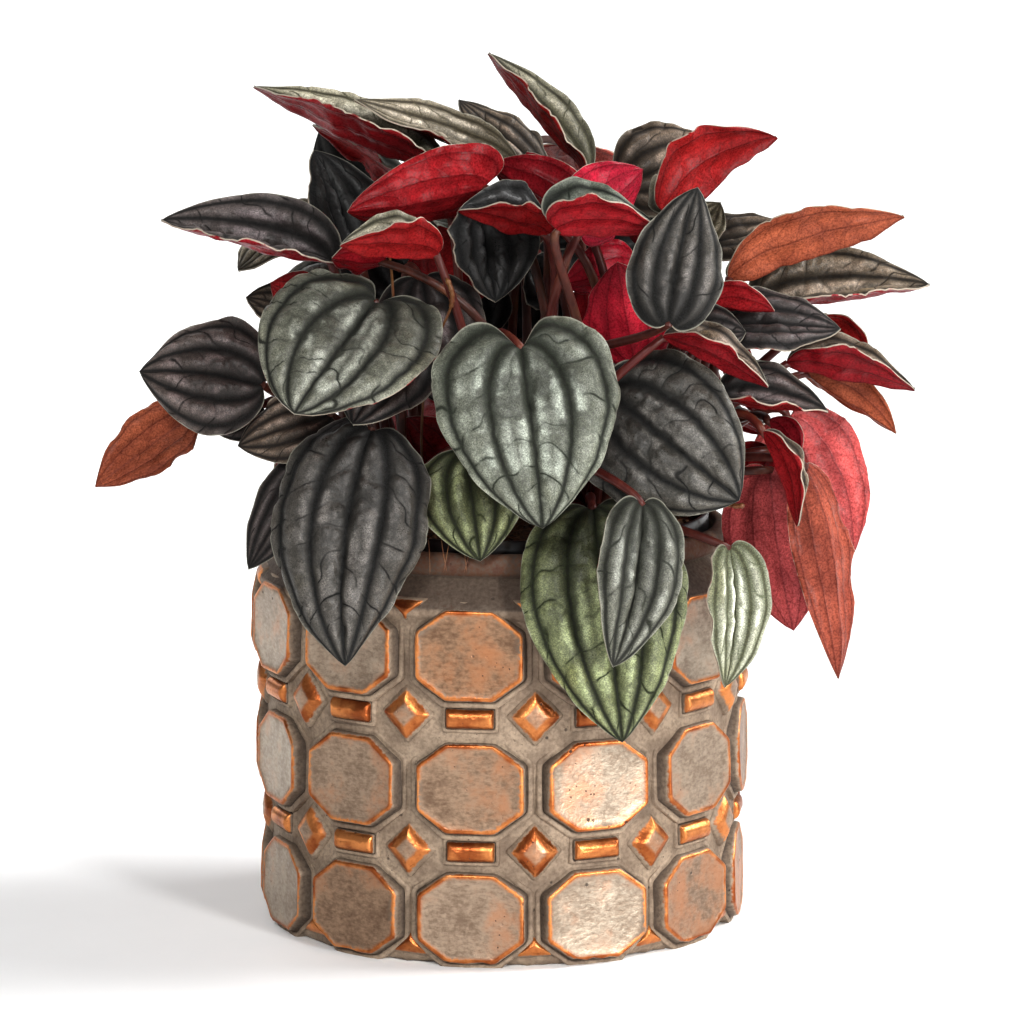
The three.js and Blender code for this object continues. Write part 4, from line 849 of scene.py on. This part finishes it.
         29, 15, 30, -15, 0, "over", 0.15, 0.4, "dark"),
        ("darkFold", (-7, -27, 208), (-2, -35, 184), (0.4, -0.85, 0.2), "ovate",
         32, 30, 0, 10, 0, "under", 0.15, 0.4, "dark"),
        ("redUnder", (-33, -52, 197), (-47, -58, 199), (0, 0.7, 0.7), "ovate",
         20, 20, 10, -15, 0, "under", 0.25, 0.25, "dark"),
        ("redShade", (-14, -14, 181), (-18, -16, 204), (0.2, 0.95, 0.1), "ovate",
         28, 15, 10, -15, 0, "under", 0.15, 0.25, "dark"),
        ("innerBlue", (17, -6, 184), (8, -8, 194), (0.2, -0.9, 0.3), "ovate",
         22, 15, 0, 0, 0, "loop", 0.25, -0.25, "dark"),
        ("innerLeft", (-7, -3, 171), (-13, 0, 192), (0.1, -0.9, 0.3), "ovate",
         24, 15, 0, 0, 0, "over", 0.15, 0.4, "dark"),
    ),
    "backLeft": (
        ("fill2", (-28, 3, 215), (-55, 7, 231), (0.3, 0.3, 0.9), "ovate",
         29, 10, -30, 15, 6, "straight", 0.15, 0.4, "silver"),
        ("fill4", (-45, 29, 137), (-68, 36, 104), (-0.8, 0.2, 0.6), "ovate",
         25, 20, -20, 15, 6, "straight", 0.5, 0.25, "green"),
        ("fill9", (-53, 4, 208), (-76, -7, 190), (-0.3, -0.3, 0.9), "ovate",
         30, 10, -20, 15, -6, "arch", 0.5, 0.25, "sage"),
        ("fill11", (-51, 27, 173), (-88, 24, 151), (-0.3, 0.2, 0.9), "lance",
         28, 10, -20, 28, -6, "straight", 0.5, 0.25, "green", "magenta"),
        ("fill14", (-51, 50, 138), (-65, 73, 103), (-0.6, 0.5, 0.7), "ovate",
         35, 14, -20, 15, -6, "straight", 0.5, 0.1, "slate"),
    ),
    "backRight": (
        ("topTaupe", (12, 16, 216), (-13, 26, 237), (0.2, -0.5, 0.8), "lance",
         22, 12, -10, 10, 6, "loop", 0.5, 0.25, "taupe"),
        ("innerBack", (7, 14, 169), (3, 18, 191), (0, -0.9, 0.3), "ovate", 27, 15, 0, 0, 0, "over", 0.5, 0.1, "dark"),
        ("fill1", (61, 47, 169), (78, 57, 138), (0.7, 0.3, 0.7), "ovate",
         33, 20, -30, 20, 0, "straight", 0.5, 0.1, "slate"),
        ("fill6", (-37, 66, 185), (-51, 82, 152), (-0.7, 0.2, 0.7), "ovate",
         33, 14, -10, 20, -6, "under", 0.5, 0.25, "silver"),
        ("fill7", (36, 26, 214), (63, 29, 180), (0.6, 0.1, 0.8), "ovate",
         32, 20, -10, 15, 0, "straight", 0.5, 0, "plum"),
        ("fill12", (50, 71, 159), (61, 87, 128), (0.4, 0.5, 0.8), "lance",
         30, 10, -20, 28, -6, "under", 0.15, 0.4, "plum"),
        ("fill13", (46, 48, 134), (59, 65, 102), (0.4, 0.9, 0.3), "ovate",
         34, 14, -30, 20, 6, "straight", 0.5, 0.25, "silver"),
    ),
    "back": (
        ("fill3", (0, 58, 196), (6, 88, 175), (0.3, 0.4, 0.9), "ovate",
         29, 14, -10, 28, 0, "loop", 0.5, -0.1, "plum", "rose"),
    ),
}

# Leaves of the far side stand in three rings on an ellipse.
ringReach = (82, 112)
rings = {
    "low": {"crowns": ("backRight", "backRight", "back", "back", "back", "backLeft", "left"), "firstAngle": 16,
            "step": 25, "baseReach": 0.62, "tipReach": 1, "baseHeight": 152, "tipHeight": 147, "droop": 50,
            "width": 36, "look": 0.5, "stagger": 5},
    "mid": {"crowns": ("right", "backRight", "back", "back", "backLeft", "left"), "firstAngle": 14,
            "step": 31, "baseReach": 0.46, "tipReach": 0.9, "baseHeight": 184, "tipHeight": 172, "droop": 12,
            "width": 36, "look": 0.8, "stagger": 7},
    "high": {"crowns": ("middle", "left", "middle"), "firstAngle": 70,
             "step": 46, "baseReach": 0.16, "tipReach": 0.6, "baseHeight": 200, "tipHeight": 206, "droop": 4,
             "width": 32, "look": 1.5, "stagger": 3},
}


def leafRow(crown, *values):
    leaf = dict(zip(leafFields, values), crown=crown)
    leaf.setdefault("lower", "red")
    for key in ("base", "tip", "facing"):
        leaf[key] = Vector(leaf[key])
    return leaf


def ringLeaves(name, ring):
    made = []
    for index, crown in enumerate(ring["crowns"]):
        angle = math.radians(ring["firstAngle"] + ring["step"] * index)
        east, north = math.cos(angle), math.sin(angle)
        raised = ring["stagger"] * (1 if index % 2 else -1)
        wander = ((index * 7) % 5 - 2) / 2
        turn = 0.25 * wander
        baseX, baseY = ringReach[0] * east * ring["baseReach"], ringReach[1] * north * ring["baseReach"]
        tipX, tipY = ringReach[0] * east * ring["tipReach"], ringReach[1] * north * ring["tipReach"]
        tipHeight = ring["tipHeight"] - ring["droop"] * north * north + 1.2 * raised
        made.append(leafRow(
            crown, name + str(index + 1), (baseX, baseY, ring["baseHeight"] + 0.6 * raised), (tipX, tipY, tipHeight),
            (east + turn * north, north - turn * east, ring["look"]), "ovate", ring["width"] + wander,
            14, -30, 24, 0, "over", 0.5, 0, ("slate", "plum", "silver")[index % 3]))
    return made


leaves = [leafRow(crown, *row) for crown, rows in shownLeaves.items() for row in rows]
for ringName, ring in rings.items():
    leaves += ringLeaves(ringName, ring)


# Own axes of a blade: along from stalk to tip, up out of its upper face, and across to its left.
def bladeAxes(leaf):
    along = leaf["tip"] - leaf["base"]
    length = along.length
    along = along / length
    up = leaf["facing"].normalized()
    up = (up - along * up.dot(along)).normalized()
    return along, up, up.cross(along), length


def halfWidthAt(leaf, way):
    growth, taper = bladeForms[leaf["form"]][:2]
    peak = growth / (growth + taper)
    fullest = peak ** growth * (1 - peak) ** taper
    return leaf["width"] / 2 * way ** growth * (1 - way) ** taper / fullest


# Point of the blade's middle surface and the way out of its upper face. way 0 to 1 runs along the veins from
# stalk to tip, and side -1 to 1 from edge to edge.
def bladePoint(leaf, axes, way, side):
    along, up, across, length = axes
    lobe = bladeForms[leaf["form"]][2]
    halfWidth = halfWidthAt(leaf, way)
    reach = way - lobe * side * side * (1 - way) * way / (way + 0.008)
    held = min(max(reach, 0), 1)
    bend, sweep = math.radians(leaf["bend"] or 0.1), math.radians(leaf["sweep"] or 0.1)
    fold, cup = math.radians(leaf["fold"]), math.radians(leaf["cup"] or 0.1)
    slope, heading = bend * (0.5 - held), sweep * (1 - 2 * held)
    ribX = (math.sin(bend / 2) - math.sin(slope)) / (2 * math.sin(bend / 2))
    ribZ = (math.cos(slope) - math.cos(bend / 2)) / (2 * math.sin(bend / 2))
    ribY = (math.cos(heading) - math.cos(sweep)) / (2 * math.sin(sweep))
    past = (reach - held) * (bend / 2) / math.sin(bend / 2)
    lift = fold + cup * abs(side)
    hand = math.copysign(1, side) if side else 0
    out = halfWidth * hand * (math.sin(lift) - math.sin(fold)) / cup
    rise = halfWidth * (math.cos(fold) - math.cos(lift)) / cup
    x = length * (ribX + past * math.cos(slope)) - rise * math.sin(slope) - out * math.sin(heading)
    y = length * (ribY + past * math.sin(heading)) + out * math.cos(heading)
    z = length * (ribZ + past * math.sin(slope)) + rise * math.cos(slope)
    point = leaf["base"] + along * x + across * y + up * z
    straight = math.cos(lift) if side else 1 / math.cos(fold)
    lean = -hand * math.sin(lift)
    outward = (up * straight * math.cos(slope) + along * (-straight * math.sin(slope) - lean * math.sin(heading))
               + across * lean * math.cos(heading))
    return point, outward


def bell(distance, width):
    return math.exp(-(distance / width) ** 2)


# Cross veins lie where the phase is a whole number: they lean to the tip on the way out and wander.
def rungPhase(side, way, halfWidth, length, bands, shift):
    spot = Vector((side * halfWidth, way * length, 0)) + shift
    wander = noise.noise(spot * 0.07) + 0.4 * noise.noise(spot * 0.2)
    lean = plant["rungSlant"] * abs(side) ** 1.3 + (0.4 if side > 0 else 0)
    return way * bands - lean + plant["rungWander"] * wander


# How far the upper skin stands over the middle surface: panels swell between the long veins and the cross veins.
def quiltHeight(side, halfWidth, phase, rungGap):
    ladder = abs(side) / plant["veinSpacing"]
    mainGap = abs(ladder - round(ladder)) * plant["veinSpacing"] * halfWidth
    rung = abs(phase - round(phase)) * rungGap
    edge = (1 - abs(side)) * halfWidth
    size = min(1, halfWidth / 13)
    swell = 1 - bell(mainGap, plant["veinDip"]) - 0.9 * bell(edge, plant["edgeDip"])
    return size * (plant["quilt"] * swell - plant["rungDepth"] * bell(rung, plant["rungDip"]) * min(1, mainGap / 1.5))


def addBlade(bm, leaf, rng):
    layers = bm.verts.layers
    axes = bladeAxes(leaf)
    length = axes[3]
    spacing = plant["bladeSpacing"]
    columns = max(8, 2 * round(leaf["width"] / spacing / 2))
    rows = max(12, round(length * 1.15 / spacing))
    bands = max(3, round(length / plant["rungLength"]))
    rungGap = length / bands
    tone, under = list(upperTones[leaf["upper"]]), list(lowerTones[leaf["lower"]])
    light = rng.uniform(*plant["upperLight"])
    tone = [tone[i] * light * rng.uniform(0.97, 1.03) for i in range(3)] + [1]
    light = rng.uniform(*plant["lowerLight"])
    under = [under[0] * light, under[1] * light * rng.uniform(0.8, 1.25), under[2] * light * rng.uniform(0.85, 1.2), 1]
    wavePhase, waveCount = rng.uniform(0, math.tau), rng.uniform(2.2, 3.6)
    shift = Vector((rng.uniform(0, 90), rng.uniform(0, 90), rng.uniform(0, 90)))

    lower = bmesh.ops.create_grid(bm, x_segments=columns, y_segments=rows, size=1)["verts"]
    for vert in lower:
        share = (vert.co.y + 1) / 2
        way = share * share * (1.6 - 0.6 * share)
        vert[layers.float["side"]] = vert.co.x
        vert[layers.float["way"]] = min(1, max(0, way))
    faces = list({face for vert in lower for face in vert.link_faces})
    upperPart = bmesh.ops.extrude_face_region(bm, geom=faces)["geom"]
    upper = {part for part in upperPart if isinstance(part, bmesh.types.BMVert)}
    blade = list(lower) + list(upper)
    for vert in blade:
        side, way = vert[layers.float["side"]], vert[layers.float["way"]]
        halfWidth = halfWidthAt(leaf, way)
        point, outward = bladePoint(leaf, axes, way, side)
        phase = rungPhase(side, way, halfWidth, length, bands, shift)
        relief = quiltHeight(side, halfWidth, phase, rungGap)
        size = min(1, halfWidth / 12)
        swing = sum(noise.noise(point * pitch + shift) * plant["crumple"] * depth
                    for pitch, depth in plant["crumpleWaves"]) * size
        wave = plant["edgeWave"] * size * side ** 4 * math.sin(way * math.tau * waveCount + wavePhase + side * 0.7)
        half = plant["bladeThickness"] / 2 * (1 - 0.45 * side * side)
        if vert in upper:
            lift = half + relief
        else:
            lift = min(-half + relief * plant["underRelief"], relief - plant["thinnest"] / 2)
        vert.co = point + outward * (lift + swing + wave)
        for label, value in (("halfWidth", halfWidth), ("phase", phase), ("rungGap", rungGap)):
            vert[layers.float[label]] = value
        vert[layers.float_color["upperTone"]] = tone
        vert[layers.float_color["lowerTone"]] = under
    made = {face for vert in blade for face in vert.link_faces}
    uvMap = bm.loops.layers.uv["UVMap"]
    for face in made:
        face.material_index = 0 if all(vert in upper for vert in face.verts) else 1
        for loop in face.loops:
            loop[uvMap].uv = ((loop.vert[layers.float["side"]] + 1) / 2, loop.vert[layers.float["way"]])
    bmesh.ops.remove_doubles(bm, verts=blade, dist=0.03)


def curvePoints(handles, count):
    return list(geometry.interpolate_bezier(*[Vector(handle) for handle in handles], count))


# From the crown to the blade, and on a little way under its midrib.
def stalkPath(leaf, axes):
    along, up = axes[:2]
    crownX, crownY = crownPlaces[leaf["crown"]]
    angle = math.atan2(leaf["base"].y - crownY, leaf["base"].x - crownX)
    outward = Vector((math.cos(angle), math.sin(angle), 0))
    sideways = Vector((-math.sin(angle), math.cos(angle), 0))
    start = Vector((crownX, crownY, plant["stalkStart"])) + outward * plant["stalkSpread"]
    reach = (start - leaf["base"]).length
    alongShare, behindShare = stalkForms[leaf["stalk"]]
    leaving = start + (Vector((0, 0, leaf["rise"])) + outward * 0.08 + sideways * leaf["sway"]) * reach
    arriving = leaf["base"] - (along * alongShare + up * behindShare - sideways * 0.7 * leaf["sway"]) * reach
    count = max(8, round(reach / plant["stalkSpacing"]))
    return curvePoints([start, leaving, arriving, leaf["base"]], count) + [leaf["base"] + along * 2.2 - up * 0.2]


# A dried spike is a thin stalk with knobbly seed scars from knobStart to its end.
def addSpike(bm, handles, mark):
    points = curvePoints(handles, thinParts["spikeSteps"])
    radii = roundedEnds(len(points), thinParts["spikeRadius"], thinParts["spikeRadius"])
    for index in range(thinParts["knobStart"], len(points) - 1):
        radii[index] = thinParts["knobRadius"] + 0.16 * (index % 2) + 0.12 * math.sin(index * 1.9)
    addTube(bm, points, radii, 7, 2, mark)


def addHairRoot(bm, x, rng, mark):
    sag = rng.uniform(-0.6, 0.8)
    end = (x + rng.uniform(-2.5, 2.5), -67.6, 112 + sag)
    steps = thinParts["rootSteps"]
    points = curvePoints([(x, -54, 116.5), (x + sag, -61, 124), (x - sag, -66.6, 120), end], steps)
    addTube(bm, points, roundedEnds(steps, *thinParts["rootRadius"]), 5, 2, mark)


def makeCrown(crown, materials, rng):
    bm = newMesh()
    for label in ("side", "way", "halfWidth", "phase", "rungGap"):
        bm.verts.layers.float.new(label)
    for label in ("upperTone", "lowerTone"):
        bm.verts.layers.float_color.new(label)
    lowerTone = bm.verts.layers.float_color["lowerTone"]

    def tinted(tone):
        def mark(vert):
            vert[lowerTone] = tone
        return mark

    x, y = crownPlaces[crown]
    stem = plant["crownStem"]
    heights = [stem["foot"] + (stem["top"] - stem["foot"]) * i / 12 for i in range(13)]
    radii = [stem["radius"] * (1 - 0.25 * abs(math.sin(i * 1.4))) for i in range(13)]
    radii[0], radii[-2], radii[-1] = 0, stem["radius"] * 0.6, 0
    addTube(bm, [Vector((x, y, height)) for height in heights], radii, 14, 2, tinted(stalkTones["stem"]))
    grown = [leaf for leaf in leaves if leaf["crown"] == crown]
    for leaf in grown:
        axes = bladeAxes(leaf)
        points = stalkPath(leaf, axes)
        redness = rng.uniform(0, 1)
        tone = tuple(least + (most - least) * redness for least, most in zip(*stalkTones["range"]))
        addTube(bm, points, roundedEnds(len(points), *plant["stalkRadius"]), 10, 2, tinted(tone))
        addBlade(bm, leaf, rng)
    for handles in driedSpikes.get(crown, ()):
        addSpike(bm, handles, tinted(thinParts["spikeTone"]))
    for rootX in hairRoots.get(crown, ()):
        addHairRoot(bm, rootX, rng, tinted(thinParts["rootTone"]))
    finishPiece("crown." + crown, bm, materials, "crown_" + crown, plant["sharpAngle"])


# Place on the blade from its own UV map, and distances in millimetres to the nearest long vein, cross vein and edge.
def veinGaps(tree):
    uvMap = tree.nodes.new("ShaderNodeUVMap")
    uvMap.uv_map = "UVMap"
    split = tree.nodes.new("ShaderNodeSeparateXYZ")
    tree.links.new(uvMap.outputs["UV"], split.inputs["Vector"])
    wander = times(minus(clouds(tree, 260, 2), 0.5), 0.05)
    side = plus(calc("MULTIPLY_ADD", split.outputs["X"], 2, -1), wander)
    halfWidth, phase, rungGap = (attribute(tree, name) for name in ("halfWidth", "phase", "rungGap"))
    far = calc("ABSOLUTE", side)
    ladder = calc("DIVIDE", far, plant["veinSpacing"])
    mainGap = calc("ABSOLUTE", minus(ladder, calc("ROUND", ladder)))
    mainGap = times(times(mainGap, plant["veinSpacing"]), halfWidth)
    rung = calc("ABSOLUTE", minus(phase, calc("ROUND", phase)))
    edge = times(minus(1, far), halfWidth)
    return split.outputs["Y"], far, mainGap, times(rung, rungGap), edge


def upperLeafMaterial():
    material, tree, shader = newMaterial("quiltedLeaf", 0.26, specular=0.4)
    way, far, mainGap, rung, edge = veinGaps(tree)
    tone = attribute(tree, "upperTone", "Color")
    pebbles = cells(tree, 2600)
    grain = clouds(tree, 2300, 3, 0.75)
    mottled = clouds(tree, 120, 4, 0.62)
    broken = fade(clouds(tree, 150, 2), 0.36, 0.54, 0.2, 1)
    net = fade(cells(tree, 210, "DISTANCE_TO_EDGE"), 0.02, 0.22, 1, 0)

    # paler to the tip and the edges, mottled, with some olive patches
    pale = plus(fade(way, 0.2, 1, 0, 0.6), fade(far, 0.35, 1, 0, 0.5))
    colour = mixed(pale, dyed(tone, grey(0.5)), dyed(tone, (1.45, 1.45, 1.42, 1)))
    colour = mixed(fade(mottled, 0.36, 0.64, 0.65, 0), colour, dyed(colour, (0.42, 0.42, 0.38, 1)))
    colour = mixed(fade(clouds(tree, 38, 2), 0.58, 0.76, 0, 0.4), colour, dyed(colour, (1.25, 1.12, 0.5, 1)))
    # painted sheen: whitish streaks beside the long veins, a lighter copy of the tone standing in for highlights
    silver = times(fade(mainGap, 0.8, 2.4), fade(mainGap, 5.5, 2.6))
    silver = times(silver, fade(clouds(tree, 90, 3, 0.6), 0.47, 0.6))
    silver = times(silver, times(fade(way, 0.04, 0.2), fade(far, 0.85, 0.5)))
    colour = mixed(times(silver, 0.8), colour, dyed(tone, (2, 2.05, 2.15, 1)))
    # dark along the long veins, wide at the stalk and narrow at the tip, then across the panels
    reachOut = calc("MULTIPLY_ADD", way, -2.2, 3.5)
    depth = calc("MULTIPLY_ADD", way, -0.25, 1)
    shade = times(fade(mainGap, 0.2, reachOut, 1, 0), depth)
    dark = dyed(dyed(tone, tone), (0.5, 0.55, 0.5, 1))
    colour = mixed(shade, colour, dark)
    line = fade(mainGap, 0.15, 0.7, 0.95, 0)
    colour = mixed(line, colour, dyed(dark, (0.5, 0.45, 0.4, 1)))
    outer = fade(calc("MAXIMUM", far, way), 0.3, 0.75, 0.5, 1)
    rungShade = plus(fade(rung, 0.1, 0.6, 0.6, 0), fade(rung, 0.2, 2.2, 0.38, 0))
    rungShade = times(times(rungShade, outer), broken)
    rungShade = calc("MAXIMUM", rungShade, times(net, 0.25))
    colour = mixed(rungShade, colour, dark)
    speckle = mixed(fade(grain, 0.36, 0.64), grey(0.62), grey(1.4))
    colour = mixed(0.85, colour, speckle, "MULTIPLY")
    # Pebble cells lightened: painted glints for the leaf's fine sparkle.
    colour = mixed(fade(pebbles, 0.35, 0.75), colour, dyed(colour, grey(1.5)))
    colour = mixed(fade(edge, 0.05, 0.4, 0.55, 0), colour, marginTones["upper"])
    feed(shader.inputs["Base Color"], colour)
    matt = calc("MULTIPLY_ADD", calc("MAXIMUM", shade, rungShade), 0.55, fade(grain, 0.3, 0.7, 0.22, 0.5))
    feed(shader.inputs["Roughness"], matt)
    height = plus(times(pebbles, -0.4), times(grain, 0.6))
    height = minus(height, times(plus(line, plus(rungShade, net)), 0.7))
    bump(shader, height, 0.35, 0.0005)
    return material


def lowerLeafMaterial():
    material, tree, shader = newMaterial("redLeafBack", 0.34, specular=0.12)
    mainGap, rung, edge = veinGaps(tree)[2:]
    tone = attribute(tree, "lowerTone", "Color")
    mottled = clouds(tree, 80, 4, 0.62)
    grain = clouds(tree, 1800, 3, 0.7)
    net = fade(cells(tree, 230, "DISTANCE_TO_EDGE"), 0.01, 0.14, 1, 0)
    colour = mixed(fade(mottled, 0.36, 0.66, 0.65, 0), tone, dyed(tone, (0.45, 0.38, 0.42, 1)))
    dark = dyed(tone, (0.22, 0.15, 0.18, 1))
    for gap, start, end, depth in ((mainGap, 0.2, 4, 0.35), (mainGap, 0.06, 0.4, 0.6), (rung, 0.06, 0.5, 0.35)):
        colour = mixed(fade(gap, start, end, depth, 0), colour, dark)
    colour = mixed(times(net, 0.2), colour, dark)
    speckle = mixed(fade(grain, 0.36, 0.66), grey(0.72), (1.3, 1.4, 1.4, 1))
    colour = dyed(colour, speckle)
    colour = mixed(fade(edge, 0.02, 0.12, 0.75, 0), colour, marginTones["lower"])
    feed(shader.inputs["Base Color"], colour)
    feed(shader.inputs["Roughness"], fade(grain, 0.3, 0.7, 0.24, 0.42))
    height = plus(times(grain, 0.35), fade(mainGap, 0.1, 0.6, 0.8, 0))
    height = plus(height, plus(fade(rung, 0.1, 0.5, 0.3, 0), times(net, 0.2)))
    bump(shader, height, 0.4, 0.0003)
    return material


def stalkMaterial():
    material, tree, shader = newMaterial("stalkFlesh", 0.38, specular=0.3)
    shader.inputs["Subsurface Weight"].default_value = 0.1
    shader.inputs["Subsurface Radius"].default_value = (0.0022, 0.0009, 0.0006)
    tone = attribute(tree, "lowerTone", "Color")
    flecks = clouds(tree, (500, 500, 180), 3, 0.6)
    colour = mixed(fade(flecks, 0.42, 0.7, 0, 0.6), tone, stalkTones["fleck"])
    colour = mixed(fade(clouds(tree, 60, 2), 0.54, 0.75, 0, 0.3), colour, stalkTones["patch"])
    feed(shader.inputs["Base Color"], colour)
    bump(shader, flecks, 0.3, 0.0003)
    return material


leafMaterials = [upperLeafMaterial(), lowerLeafMaterial(), stalkMaterial()]
leafRandom = random.Random(plant["seed"])
for crownName in crownPlaces:
    makeCrown(crownName, leafMaterials, leafRandom)
